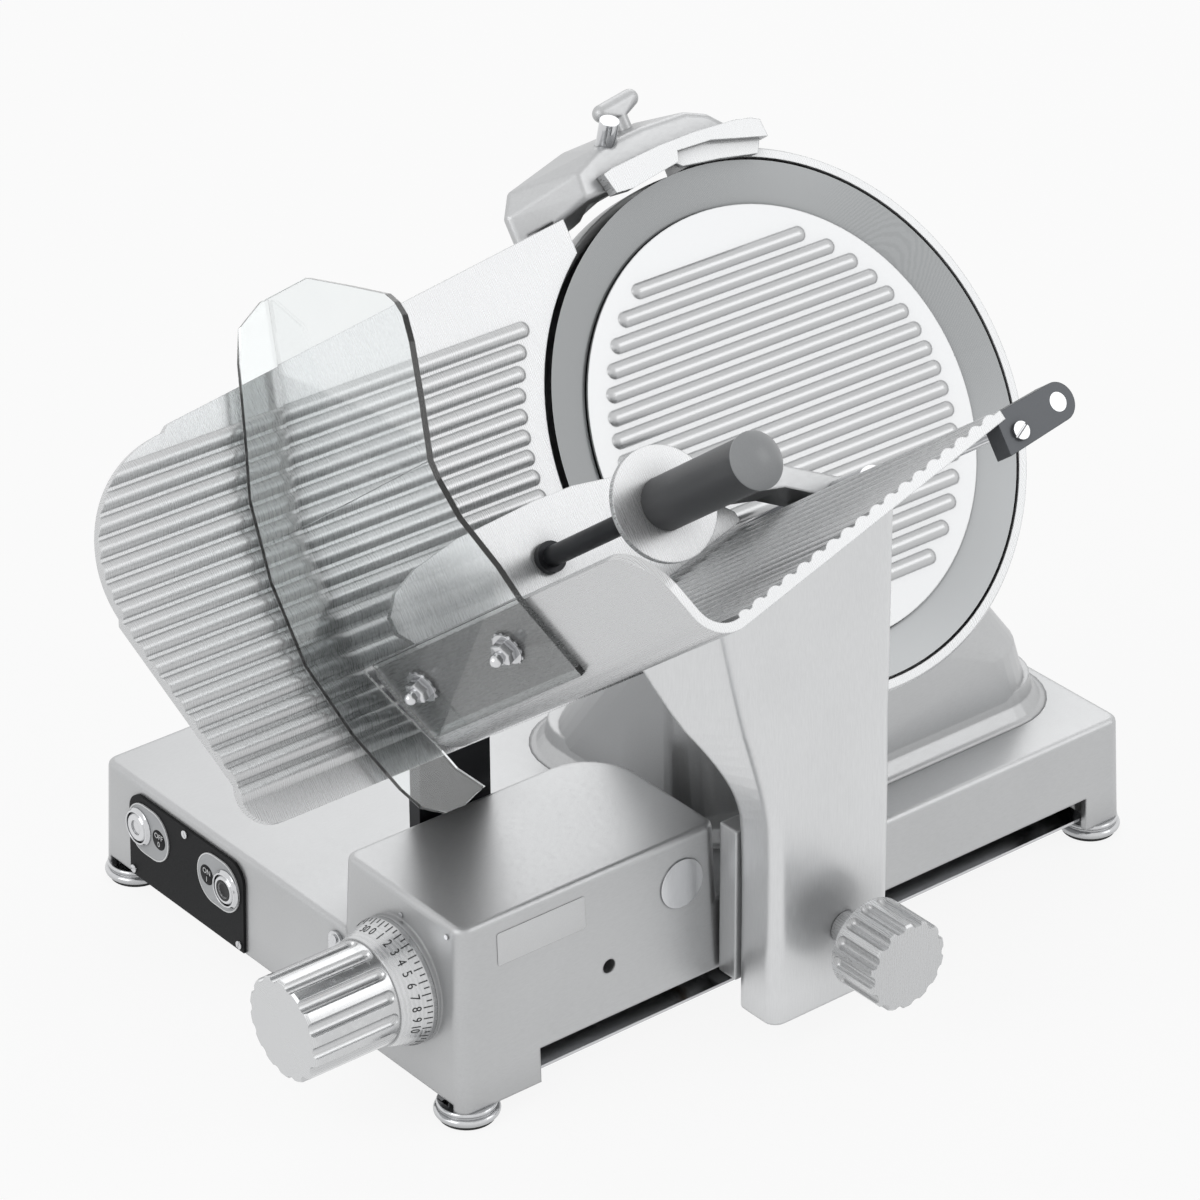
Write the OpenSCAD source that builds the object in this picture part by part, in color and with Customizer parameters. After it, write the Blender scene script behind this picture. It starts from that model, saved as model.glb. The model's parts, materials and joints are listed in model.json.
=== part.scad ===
// Gravity food slicer with a 350 mm class blade.
// +Z is up, the operator's side faces -Y, and the origin is on the table, under the front left foot.

/* [Base] */
// Width of the base at the foot of its walls
base_w = 397; // [388:1:410]
// Length of the base at the foot of its walls
base_l = 568; // [560:1:600]
// Height of the low deck above the foot of the walls
deck_h = 77; // [75:1:81]
// Height of the dial box above the foot of the walls
box_h = 132; // [127:1:136]
// Width of the dial box
box_w = 130; // [126:1:136]
// Length of the dial box
box_l = 215; // [205:1:222]
// Thickness of the cast walls
wall = 5; // [4:0.5:6]
// Lean of the cast walls from upright, in degrees
draft = 2; // [1.5:0.1:2.5]
// Radius of the outer corners in plan
corner_r = 9; // [7:0.5:12]
// Radius along the top edges
edge_r = 4; // [3:0.5:5]
// Height of the arch that the carriage tongue passes under
arch_h = 25; // [23:1:27]
// Length of the front leg beside the arch
front_leg_l = 63; // [55:1:70]
// Length of the rear leg beside the arch
rear_leg_l = 34; // [28:1:40]

/* [Feet] */
// Height of a foot under the walls
foot_h = 12; // [11:0.5:14]
// Radius of a foot
foot_r = 21.5; // [18:0.5:24]
// Distance from the walls to the axis of a foot
foot_inset = 16; // [15:0.5:20]

/* [Blade] */
// Diameter of the blade
blade_d = 350; // [340:1:352]
// Lean of the blade's axis above level, in degrees
tilt = 37.1; // [36.5:0.1:37.5]
// Distance of the blade's centre in from the right wall
blade_in = 96.3; // [92:0.1:98]
// Distance of the blade's centre behind the front wall
blade_back = 346.4; // [342:0.1:350]
// Height of the blade's centre above the table
blade_z = 347.7; // [346:0.1:352]
// Width of the ground ring of the blade
bevel_w = 26.5; // [24:0.5:28]
// How far the cover plate's rim lies in from the blade's edge
cover_in = 28.5; // [28:0.5:35]
// Pitch of the ribs on the blade cover
cover_rib_pitch = 14.1; // [13:0.1:16]
// Width of the ring guard, across its wall
ring_w = 7.2; // [5:0.1:10]

/* [Gauge plate] */
// Thickness of the gauge plate under its ribs
gauge_t = 6; // [5:0.5:7]
// Pitch of the ribs on the gauge plate
gauge_rib_pitch = 12.7; // [12:0.1:14]
// Number of ribs on the gauge plate
gauge_ribs = 17; // [12:1:17]
// Greatest slice thickness
slice_max = 15; // [8:0.5:16]
// Turn of the dial from closed to the greatest thickness, in degrees
dial_turn = 300; // [240:5:320]

/* [Dial] */
// Radius of the graduated ring
dial_r = 42.5; // [38:0.5:44]
// Radius of the fluted grip of the dial
dial_grip_r = 35; // [30:0.5:36]
// Length of the fluted grip of the dial
dial_grip_l = 65; // [50:1:80]
// Number of flutes on the dial and on the lock knob
flutes = 14; // [10:1:16]

/* [Carriage] */
// Length of the tray across its ribs
tray_l = 253; // [245:1:256]
// Width of the trough along its ribs
trough_w = 315; // [300:1:325]
// Height of the fence along its slope
fence_h = 73; // [66:1:80]
// Thickness of the tray and the fence
tray_t = 6; // [5:0.5:7]
// Rise of the tray above level, in degrees
tray_rise = 13.5; // [13:0.1:14]
// Lean of the fence from level, in degrees
fence_rise = 69; // [68:0.5:71]
// Pitch of the ribs on the tray
tray_rib_pitch = 12.7; // [12:0.1:14]
// Width of the arm, front to back
arm_w = 98; // [92:1:100]
// Thickness of the arm, side to side
arm_t = 38; // [36:1:42]
// Diameter of the round guide rod
guide_d = 20; // [18:0.5:22]
// Travel of the carriage towards the operator
travel_front = 150; // [100:1:155]
// Travel of the carriage away from the operator
travel_rear = 170; // [100:1:175]

/* [Pusher] */
// Width of the pusher plate along the tray
pusher_w = 258; // [240:1:260]
// Radius of the hand guard disc
disc_r = 35.5; // [30:0.5:40]
// Length of the grip
grip_l = 102; // [95:1:110]
// Radius of the grip
grip_r = 16.5; // [14:0.5:18]
// Travel of the pusher towards the blade
pusher_in = 26; // [10:1:27]
// Travel of the pusher away from the blade
pusher_out = 150; // [40:1:180]

/* [Panel] */
// Width of the switch panel
panel_w = 130; // [124:1:134]
// Height of the switch panel
panel_h = 64; // [60:1:66]
// Diameter of the push buttons
button_d = 21; // [18:0.5:22]
// Travel of the push buttons
button_travel = 2.5; // [1.5:0.1:3]

/* [Hidden] */

$fn = 64;
// Overrun of every cut
over = 1;
// Thickness of the slices that a hull is drawn between
slice = 0.02;
// Sides of the round pieces inside a hull
soft = 32;

// The origin is on the table, under the front left foot
front_y = -foot_inset;
rear_y = front_y + base_l;
left_x = -foot_inset;
right_x = left_x + base_w;
mid_x = left_x + base_w / 2;
mid_y = front_y + base_l / 2;
deck_z = foot_h + deck_h;
box_z = foot_h + box_h;
lean = tan(draft);
blade_r = blade_d / 2;
cover_r = blade_r - cover_in;
blade_x = right_x - blade_in;
blade_y = front_y + blade_back;

// Running clearances, on the radius
run_gap = 0.05;
close_gap = 0.3;

// Frames of reference

// In the blade's frame x runs to the rear, y up the slope of the blade and z out of its face
module blade_frame() {
    translate([blade_x, blade_y, blade_z]) rotate([0, 90 - tilt, 0]) rotate([0, 0, 90]) children();
}

// In the front wall's frame x runs right, y up the wall and z out of it
module on_front(x, h) {
    translate([x, front_y + h * lean, foot_h + h]) rotate([90 - draft, 0, 0]) children();
}

// In the right wall's frame x runs to the rear, y up the wall and z out of it
module on_right(y, h) {
    translate([right_x - h * lean, y, foot_h + h]) rotate([90 - draft, 0, 90]) children();
}

// Turns a shape so that its z axis points at the operator
module to_front() {
    rotate([90, 0, 0]) children();
}

// Turns a shape so that its z axis points right
module to_right() {
    rotate([90, 0, 90]) children();
}

// Shared shapes

// A disc whose upper edge is rounded, for use in hulls
edge_step = 30;
module puck(r, edge) {
    for (a = [0 : edge_step : 90]) {
        translate([0, 0, edge * (sin(a) - 1)]) cylinder(r = r - edge * (1 - cos(a)), h = slice, $fn = soft);
    }
}

// A cast block with leaning walls, rounded corners and rounded top edges
module cast_block(x0, x1, y0, y1, h, r, rear_left_r, edge) {
    k = h * lean;
    radii = [r, r, rear_left_r, r];
    xs = [x0, x1, x0, x1];
    ys = [y0, y0, y1, y1];
    sx = [1, -1, 1, -1];
    sy = [1, 1, -1, -1];
    hull() for (i = [0 : 3]) {
        translate([xs[i] + sx[i] * radii[i], ys[i] + sy[i] * radii[i], 0]) cylinder(r = radii[i], h = slice, $fn = soft);
        translate([xs[i] + sx[i] * (radii[i] + k), ys[i] + sy[i] * (radii[i] + k), h]) puck(radii[i], edge);
    }
}

// A flat plate with rounded corners, centred
module round_plate(w, h, t, r) {
    linear_extrude(t) {
        square([w - 2 * r, h], center = true);
        square([w, h - 2 * r], center = true);
        for (x = [-1, 1], y = [-1, 1]) translate([x * (w / 2 - r), y * (h / 2 - r)]) circle(r);
    }
}

// A fluted round grip whose flutes start a rim's width from z = 0 and run out of its end
module fluted_grip(r, l, rim, flute_r, depth) {
    difference() {
        union() {
            cylinder(r = r, h = l - rim_chamfer);
            translate([0, 0, l - rim_chamfer]) cylinder(r1 = r, r2 = r - rim_chamfer, h = rim_chamfer);
        }
        for (i = [0 : flutes - 1]) rotate(i * 360 / flutes) translate([r + flute_r - depth, 0, rim]) {
            cylinder(r = flute_r, h = l, $fn = soft);
            sphere(r = flute_r, $fn = soft);
        }
    }
}
rim_chamfer = 1.5;

// A bar with round ends for ribs: its crown stands proud of z = 0 by the rib's height
rib_w = 10.5;
rib_h = 2.5;
rib_r = (pow(rib_w / 2, 2) + pow(rib_h, 2)) / (2 * rib_h);
module rib_bar(x0, x1) {
    translate([x0, 0, rib_h - rib_r]) {
        rotate([0, 90, 0]) cylinder(r = rib_r, h = x1 - x0, $fn = 48);
        sphere(r = rib_r, $fn = 48);
        translate([x1 - x0, 0, 0]) sphere(r = rib_r, $fn = 48);
    }
}

// Base

box_x0 = right_x - box_w;
box_back_r = 40;
arch_y0 = front_y + front_leg_l;
arch_y1 = rear_y - rear_leg_l;
inner_edge = 2;

// Centre of the dial, measured from the right wall and from the foot of the wall
dial_in = 64;
dial_h = 71;
dial_x = right_x - dial_in;
dial_z = foot_h + dial_h;
dial_seat_t = 0.5;
dial_seat_y = front_y - dial_seat_t;
dial_shaft_r = 6;

// Push buttons, measured from the left wall and the foot of the wall
button_h = 47;
button_in = [48.8, 148.8];
button_hole_gap = 0.3;

// Slot for the gauge post in the deck
post_t = 11;
post_w = 57;
post_box_gap = 2;
post_x = box_x0 - post_box_gap - post_t / 2;
post_back = 99;
post_y = front_y + post_back;
post_gap = 1;
slide_dx = slice_max * cos(tilt);
slide_dz = slice_max * sin(tilt);

// Threaded hole and plug in the box's right wall
hole_back = 120;
hole_y = front_y + hole_back;
hole_h = 62;
hole_r = 5;
plug_back = 180;
plug_y = front_y + plug_back;
plug_h = 99;
plug_r = 17;
plug_t = 3;
plug_cap_t = 0.8;
boss_wall = 4;

// Cable opening in the deck under the motor housing
cable_hole_r = 20;
cable_hole_in = 42.2;
cable_hole_front = 2.4;
cable_hole_x = blade_x - cable_hole_in;
cable_hole_y = blade_y - cable_hole_front;

module base_housing() {
    color("silver") difference() {
        union() {
            translate([0, 0, foot_h])
                cast_block(left_x, right_x, front_y, rear_y, deck_h, corner_r, corner_r, edge_r);
            translate([0, 0, foot_h])
                cast_block(box_x0, right_x, front_y, front_y + box_l, box_h, corner_r, box_back_r, edge_r);
            translate([dial_x, front_y + wall, dial_z]) to_front() cylinder(r = dial_r, h = wall + dial_seat_t);
        }
        difference() {
            union() {
                translate([0, 0, foot_h - over]) cast_block(left_x + wall, right_x - wall, front_y + wall,
                    rear_y - wall, deck_h - wall + over, corner_r - wall, corner_r - wall, inner_edge);
                translate([0, 0, foot_h - over]) cast_block(box_x0 + wall, right_x - wall, front_y + wall,
                    front_y + box_l - wall, box_h - wall + over, corner_r - wall, box_back_r - wall, inner_edge);
            }
            foot_bosses();
            translate([right_x, hole_y, foot_h + hole_h]) to_right()
                translate([0, 0, -hole_boss_l]) cylinder(r = hole_r + boss_wall, h = hole_boss_l);
        }
        translate([right_x - wall - corner_r, arch_y0, foot_h - over])
            cube([wall + corner_r + over, arch_y1 - arch_y0, arch_h + over]);
        translate([left_x + corner_r, front_y - over, foot_h - over])
            cube([base_w - 2 * corner_r, wall + corner_r + over, front_raise + over]);
        foot_holes();
        translate([dial_x, front_y, dial_z]) to_front()
            translate([0, 0, -2 * wall]) cylinder(r = dial_shaft_r + run_gap, h = 4 * wall);
        for (x = button_in) on_front(left_x + x, button_h)
            translate([0, 0, -2 * wall]) cylinder(r = button_d / 2 + button_hole_gap, h = 4 * wall);
        translate([post_x - post_t / 2 - slide_dx - post_gap, post_y - post_w / 2 - post_gap, deck_z - 2 * wall])
            cube([post_t + slide_dx + 2 * post_gap, post_w + 2 * post_gap, 3 * wall]);
        translate([right_x, hole_y, foot_h + hole_h]) to_right()
            translate([0, 0, -hole_boss_l - over]) cylinder(r = hole_r, h = hole_boss_l + 2 * over);
        on_right(plug_y, plug_h) translate([0, 0, -plug_t]) cylinder(r = plug_r, h = plug_t + over);
        translate([cable_hole_x, cable_hole_y, deck_z - 2 * wall]) cylinder(r = cable_hole_r, h = 3 * wall);
        gland_place() translate([0, 0, -2 * wall]) cylinder(r = gland_r, h = 4 * wall);
    }
}
hole_boss_l = 22;
// Height of the front wall's lower edge above that of the other walls
front_raise = 5;

// Feet, each turned with a waist and screwed into a boss of the housing
foot_xs = [left_x + foot_inset, right_x - foot_inset];
foot_ys = [front_y + foot_inset, rear_y - foot_inset];
foot_stud_r = 4;
foot_boss_r = 12;
foot_boss_h = 30;
pad_t = 2.5;
pad_r = foot_r - 3;

module at_feet() {
    for (x = foot_xs, y = foot_ys) translate([x, y, 0]) children();
}

module foot_bosses() {
    at_feet() translate([0, 0, foot_h]) cylinder(r = foot_boss_r, h = foot_boss_h);
}

module foot_holes() {
    at_feet() translate([0, 0, foot_h - over]) cylinder(r = foot_stud_r, h = foot_boss_h + over);
}

ring_low_r = 2.7;
ring_top_r = 1.6;
module feet() {
    color("gainsboro") at_feet() {
        rotate_extrude() {
            translate([0, pad_t]) square([foot_r - ring_low_r, foot_h - pad_t]);
            translate([foot_r - ring_low_r, pad_t + ring_low_r]) circle(ring_low_r, $fn = soft);
            translate([foot_r - ring_low_r - ring_top_r / 2, foot_h - ring_top_r]) circle(ring_top_r, $fn = soft);
        }
        translate([0, 0, foot_h]) cylinder(r = foot_stud_r, h = foot_boss_h - 2 * slim);
    }
}
slim = 1;

module foot_pads() {
    color("dimgray") at_feet() cylinder(r = pad_r, h = pad_t);
}

// Sheet that closes the base from below
cover_t = 2;
cover_gap = 1;
module bottom_cover() {
    color("silver") difference() {
        translate([mid_x, mid_y, foot_h + front_raise]) linear_extrude(cover_t)
            square([base_w - 2 * (wall + cover_gap), base_l - 2 * (wall + cover_gap)], center = true);
        at_feet() translate([-foot_boss_r - cover_gap, -foot_boss_r - cover_gap, foot_h])
            cube([2 * (foot_boss_r + cover_gap), 2 * (foot_boss_r + cover_gap), foot_h]);
        vents();
    }
}
vent_count = 8;
vent_w = 4;
vent_l = 60;
vent_pitch = 12;
module vents() {
    for (i = [0 : vent_count - 1]) translate([mid_x - base_w / 4 + i * vent_pitch, mid_y, foot_h])
        cube([vent_w, vent_l, foot_h]);
}

// Switch panel

panel_in = 36;
panel_foot = 6;
panel_t = 2;
panel_r = 14;
panel_x = left_x + panel_in + panel_w / 2;
bezel_w = 46;
bezel_l = 36;
bezel_t = 0.8;
bezel_out = 10;
bezel_gap = 0.1;
bezel_sides = [1, -1];
screw_r = 1.6;
screw_head_r = 2.8;
screw_head_t = 1;

module on_panel(x, h) {
    on_front(x, h) translate([0, 0, panel_t]) children();
}

module switch_panel() {
    color("#1d1d1e") on_front(panel_x, panel_foot + panel_h / 2) difference() {
        union() {
            round_plate(panel_w, panel_h, panel_t, panel_r);
            translate([-panel_w / 2, -panel_h / 2, 0]) cube([panel_w, panel_h / 2, panel_t]);
        }
        for (x = button_in) translate([left_x + x - panel_x, button_h - panel_foot - panel_h / 2, -over])
            cylinder(r = button_d / 2 + button_hole_gap, h = panel_t + 2 * over);
    }
}

module button_bezels() {
    color("lightgray") for (i = [0, 1]) on_panel(left_x + button_in[i], button_h) difference() {
        translate([bezel_sides[i] * bezel_out, 0, 0]) round_plate(bezel_w, bezel_l, bezel_t, bezel_l / 2 - bezel_gap);
        translate([0, 0, -over]) cylinder(r = button_d / 2 + button_hole_gap, h = bezel_t + 2 * over);
    }
}

// Two at the lower corners and one at the top centre
panel_screw_in = 4.5;
panel_screws_at = [
    [-panel_w / 2 + panel_screw_in, panel_screw_in + panel_foot],
    [panel_w / 2 - panel_screw_in, panel_screw_in + panel_foot],
    [0, panel_h + panel_foot - panel_screw_in]];
module panel_screws() {
    color("gainsboro") for (p = panel_screws_at) on_panel(panel_x + p[0], p[1])
        cylinder(r1 = screw_head_r, r2 = screw_head_r - screw_head_t / 2, h = screw_head_t);
}

// A push button: a cap that runs in the panel, with a stem behind it
cap_h = 4;
stem_l = 24;
stem_r = 5;
module push_button(i) {
    on_panel(left_x + button_in[i], button_h) difference() {
        union() {
            translate([0, 0, -wall]) cylinder(r = button_d / 2, h = wall + cap_h - rim_chamfer);
            translate([0, 0, cap_h - rim_chamfer])
                cylinder(r1 = button_d / 2, r2 = button_d / 2 - rim_chamfer, h = rim_chamfer);
            translate([0, 0, -stem_l]) cylinder(r = stem_r, h = stem_l);
        }
        translate([0, 0, cap_h - slim]) cylinder(r = button_d / 4, h = 2 * slim);
    }
}

module start_button() {
    color("silver") push_button(1);
}

module stop_button() {
    color("silver") push_button(0);
}

module box_plug() {
    color("lightgray") on_right(plug_y, plug_h) translate([0, 0, -plug_t])
        cylinder(r = plug_r, h = plug_t + plug_cap_t);
}

// Index pin above the dial, pin at the box corner and stop tab beside the dial
index_r = 1.8;
index_h = 117;
corner_pin_in = 13;
corner_pin_h = 124;
tab_in = 131;
tab_h = 62;
tab_w = 14;
tab_l = 20;
tab_t = 2;
module index_marks() {
    color("silver") {
        on_front(dial_x, index_h) cylinder(r = index_r, h = slim);
        on_front(right_x - corner_pin_in - corner_r / 2, corner_pin_h) cylinder(r = index_r, h = slim);
        on_front(right_x - tab_in, tab_h) {
            round_plate(tab_w, tab_l, tab_t, tab_w / 2 - bezel_gap);
            translate([0, tab_l / 4, tab_t]) cylinder(r = screw_head_r, h = screw_head_t);
        }
    }
}

// Box of the switching electronics, behind the panel
board_w = 120;
board_d = 60;
board_h = 40;
board_back = 40;
module control_board() {
    color("ivory") translate([panel_x - board_w / 2, front_y + board_back, foot_h + front_raise + cover_t]) {
        cube([board_w, board_d, board_h]);
        for (i = [0 : 4]) translate([(i + 1) * board_w / 6, board_d / 2, board_h]) cylinder(r = stem_r, h = stem_r);
    }
}

// Gland for the supply lead in the rear wall
gland_r = 8;
gland_in = 70;
gland_up = 43;
gland_flange_r = 13;
gland_flange_t = 4;
gland_l = 14;
gland_bore_r = 4.5;
module gland_place() {
    translate([left_x + gland_in, rear_y - gland_up * lean, foot_h + gland_up]) rotate([-90 + draft, 0, 0]) children();
}

module cable_gland() {
    color("#262626") gland_place() difference() {
        union() {
            translate([0, 0, -wall - gland_flange_t]) cylinder(r = gland_r, h = wall + gland_flange_t);
            cylinder(r = gland_flange_r, h = gland_flange_t);
            translate([0, 0, gland_flange_t]) cylinder(r1 = gland_r + slim, r2 = gland_bore_r + 2 * slim, h = gland_l);
        }
        translate([0, 0, -wall - gland_flange_t - over]) cylinder(r = gland_bore_r, h = wall + 2 * gland_flange_t + gland_l + 2 * over);
    }
}

// Carriage guide inside the base

guide_in = 46;
guide_x = right_x - guide_in;
guide_z = foot_h + 40;
guide_r = guide_d / 2;
guide_y0 = front_y + 24;
guide_y1 = rear_y - 24;
block_w = 30;
block_l = 16;
module guide_rod() {
    color("gainsboro") translate([guide_x, guide_y1, guide_z]) to_front() cylinder(r = guide_r, h = guide_y1 - guide_y0);
}

module rod_blocks() {
    color("silver") for (y = [guide_y0, guide_y1 - block_l]) difference() {
        top = (y < mid_y ? foot_h + box_h : deck_z) - wall - close_gap;
        translate([guide_x - block_w / 2, y, guide_z - guide_r - wall])
            cube([block_w, block_l, top - guide_z + guide_r + wall]);
        translate([guide_x, y + block_l + over, guide_z]) to_front() cylinder(r = guide_r, h = block_l + 2 * over);
    }
}

bar_in = 85;
bar_w = 10;
bar_t = 6.5;
bar_x = right_x - bar_in;
bar_z = foot_h + 24;
bar_end = wall + 1.4;
hanger_t = 6;
module guide_bar() {
    color("gainsboro") translate([bar_x - bar_w / 2, front_y + bar_end, bar_z]) cube([bar_w, base_l - 2 * bar_end, bar_t]);
}

// Gauge plate and what moves it

rail_r = 7;
rail_z = foot_h + 47;
rail_x = post_x;
rail_low = 36;
rail_high = 26;
module rail_frame() {
    translate([rail_x, post_y, rail_z]) rotate([0, 90 - tilt, 0]) children();
}

rail_lug_t = 8;
rail_lug_w = 22;
module gauge_rail() {
    color("gainsboro") {
        rail_frame() {
            translate([0, 0, -rail_low]) cylinder(r = rail_r, h = rail_low + rail_high);
            for (s = [-rail_low, rail_high - rail_lug_t]) translate([-rail_lug_w / 2, -rail_lug_w / 2, s])
                cube([rail_lug_w, rail_lug_w + hanger_t + slim, rail_lug_t]);
        }
        for (s = [-rail_low + rail_lug_t / 2, rail_high - rail_lug_t / 2])
            translate([rail_x + s * cos(tilt) - hanger_t / 2, post_y + rail_lug_w / 2 + slim, rail_z + s * sin(tilt)])
                cube([hanger_t, hanger_t, deck_z - wall - rail_z - s * sin(tilt)]);
    }
}

slide_l = 18;
slide_w = 22;
post_top_h = 150;
foot_plate_l = 40;
module gauge_post() {
    color("#2b2b2b") difference() {
        union() {
            translate([post_x - post_t / 2, post_y - post_w / 2, deck_z - 2 * post_t])
                cube([post_t, post_w, post_top_z - deck_z + 2 * post_t]);
            rail_frame() translate([-slide_w / 2, -slide_w / 2, -slide_l / 2]) cube([slide_w, slide_w, slide_l]);
            translate([post_x - post_t / 2, post_y - slide_w / 2, rail_z])
                cube([post_t, slide_w, deck_z - post_t - rail_z]);
        }
        rail_frame() translate([0, 0, -rail_low]) cylinder(r = rail_r + run_gap, h = 2 * rail_low);
        blade_frame() translate([-2 * blade_d, -2 * blade_d, -gauge_back]) cube([4 * blade_d, 4 * blade_d, blade_d]);
    }
}
// Depth of the back of the gauge plate behind the blade's plane
gauge_face = 0.5;
gauge_back = gauge_face + rib_h + gauge_t;
// The post ends where it meets the back of the gauge plate
post_top_z = blade_z + (blade_x - post_x + post_t) / tan(tilt);

// Outline of the gauge plate about the blade's centre, from the photographed one
gauge_left = 500;
gauge_low = 113;
gauge_foot = 452;
gauge_foot_r = 22;
gauge_shoulder = 420;
gauge_shoulder_r = 78;
gauge_top = 133;
gauge_horn_x = 100;
gauge_horn_y = 171;
gauge_waist = 30;
gauge_blade_gap = 3.5;
module gauge_outline() {
    difference() {
        union() {
            polygon([
                [-gauge_foot + gauge_foot_r * 0.1, -gauge_low], [-gauge_blade_gap, -gauge_low],
                [-gauge_blade_gap, gauge_horn_y - gauge_foot_r], [-gauge_horn_x, gauge_horn_y],
                [-gauge_shoulder, gauge_top], [-gauge_left + gauge_shoulder_r * 0.35, gauge_shoulder_r + gauge_waist * 0.55],
                [-gauge_left, gauge_waist], [-gauge_foot - gauge_foot_r * 0.62, -gauge_low + gauge_foot_r * 0.65]]);
            translate([-gauge_foot + gauge_foot_r * 0.1, -gauge_low + gauge_foot_r]) circle(gauge_foot_r);
            translate([-gauge_left + gauge_shoulder_r, gauge_top - gauge_shoulder_r * 1.05]) circle(gauge_shoulder_r);
        }
        circle(blade_r + gauge_blade_gap, $fn = 180);
        translate([-gauge_horn_x, 0]) square([blade_d, blade_d]);
    }
}

gauge_rib_top = 114;
gauge_rib_end_gap = 22;
module gauge_plate() {
    color("gainsboro") blade_frame() translate([0, 0, -gauge_face - rib_h]) {
        intersection() {
            translate([0, 0, -gauge_t]) linear_extrude(gauge_t + 2 * rib_h) gauge_outline();
            union() {
                translate([-2 * blade_d, -blade_d, -gauge_t]) cube([2 * blade_d, 2 * blade_d, gauge_t]);
                for (i = [0 : gauge_ribs - 1]) let (y = gauge_rib_top - i * gauge_rib_pitch)
                    translate([0, y, 0]) rib_bar(-gauge_left - blade_r,
                        -sqrt(pow(blade_r + gauge_rib_end_gap, 2) - y * y));
            }
        }
    }
}

// Scroll cam on the dial's shaft: its spiral groove leads the follower pin
cam_t = 8;
cam_y = front_y + wall + 6;
cam_r0 = 17;
cam_r = cam_r0 + slice_max + 8;
pin_r = 3.5;
groove_gap = 0.25;
groove_depth = 6;
cam_step = 6;
groove_end = 6;
function groove_r(s) = cam_r0 + slice_max * s / dial_turn;
function groove_at(s, off) = [-cos(tilt - s), -sin(tilt - s)] * (groove_r(s) + off);

module groove() {
    steps = ceil((dial_turn + 2 * groove_end) / cam_step);
    turn = (dial_turn + 2 * groove_end) / steps;
    polygon(concat(
        [for (i = [0 : steps]) groove_at(-groove_end + i * turn, pin_r + groove_gap)],
        [for (i = [steps : -1 : 0]) groove_at(-groove_end + i * turn, -pin_r - groove_gap)]));
    translate(groove_at(-groove_end, 0)) circle(pin_r + groove_gap);
    translate(groove_at(dial_turn + groove_end, 0)) circle(pin_r + groove_gap);
}

module scroll_cam() {
    color("gray") translate([dial_x, cam_y + cam_t, dial_z]) to_front() difference() {
        cylinder(r = cam_r, h = cam_t);
        translate([0, 0, -over]) linear_extrude(groove_depth + over) groove();
        translate([0, 0, -over]) cylinder(r = dial_shaft_r, h = cam_t + 2 * over);
    }
}

dial_skirt_y = front_y - 24;
dial_cone_r = dial_grip_r + 1;
dial_lip = 3;
module dial_knob() {
    color("silver") translate([dial_x, dial_seat_y - close_gap, dial_z]) to_front() {
        skirt = dial_seat_y - close_gap - dial_skirt_y;
        cylinder(r = dial_r, h = dial_lip);
        translate([0, 0, dial_lip]) cylinder(r1 = dial_r, r2 = dial_cone_r, h = skirt - dial_lip);
        translate([0, 0, skirt]) fluted_grip(dial_grip_r, dial_grip_l, flute_rim, dial_flute_r, dial_flute_depth);
    }
}
flute_rim = 6;
dial_flute_r = 5;
dial_flute_depth = 3.2;

module dial_shaft() {
    color("gray") translate([dial_x, cam_y + cam_t + slim, dial_z]) to_front()
        cylinder(r = dial_shaft_r, h = cam_y + cam_t + slim - dial_seat_y + close_gap);
}

// Follower: a pin in the groove, on a bar that is fixed to the foot of the gauge post
follower_r = 5;
follower_pin_gap = 0.5;
follower_y = post_y - post_w / 2 + follower_r;
follower_x = dial_x - cam_r0 * cos(tilt);
follower_z = dial_z - cam_r0 * sin(tilt);
module gauge_follower() {
    color("gray") {
        translate([follower_x, cam_y + cam_t + follower_pin_gap, follower_z]) to_front()
            cylinder(r = pin_r, h = groove_depth);
        translate([follower_x, follower_y + follower_r, follower_z]) to_front()
            cylinder(r = follower_r, h = follower_y + follower_r - cam_y - cam_t - follower_pin_gap);
        translate([post_x + post_t / 2, follower_y - follower_r, follower_z - follower_r])
            cube([follower_x - post_x - post_t / 2, 2 * follower_r, 2 * follower_r]);
    }
}

// Blade, its axle and its drive

blade_dish = 6.6;
blade_floor = 15;
blade_t = 4;
dish_in = 57;
dish_r = blade_r - dish_in;
hub_r = 30;
edge_back_r = blade_r - 9;
module blade() {
    color("lightgray") blade_frame() difference() {
        rotate_extrude($fn = 180) polygon([
            [hub_r, -blade_floor], [dish_r, -blade_floor], [blade_r - bevel_w, -blade_dish], [blade_r, -slim / 4],
            [blade_r, -slim / 2], [edge_back_r, -blade_dish], [blade_r - bevel_w + blade_t, -blade_dish - blade_t],
            [dish_r + blade_t / 2, -blade_floor - blade_t], [hub_r, -blade_floor - blade_t]]);
        blade_screw_places() translate([0, 0, -blade_floor - blade_t - over])
            cylinder(r = blade_screw_r, h = blade_t + 2 * over, $fn = soft);
    }
}

blade_screw_n = 4;
blade_screw_r = 3;
blade_screw_pitch_r = 44;
blade_screw_head_r = 6;
blade_screw_head_t = 3;
module blade_screw_places() {
    for (i = [0 : blade_screw_n - 1]) rotate(i * 360 / blade_screw_n) translate([blade_screw_pitch_r, 0, 0]) children();
}

module blade_screws() {
    color("gainsboro") blade_frame() blade_screw_places() {
        translate([0, 0, -blade_floor]) cylinder(r = blade_screw_head_r, h = blade_screw_head_t, $fn = soft);
        translate([0, 0, -blade_floor - blade_t - pulley_flange_t])
            cylinder(r = blade_screw_r, h = blade_t + pulley_flange_t, $fn = soft);
    }
}

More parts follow.
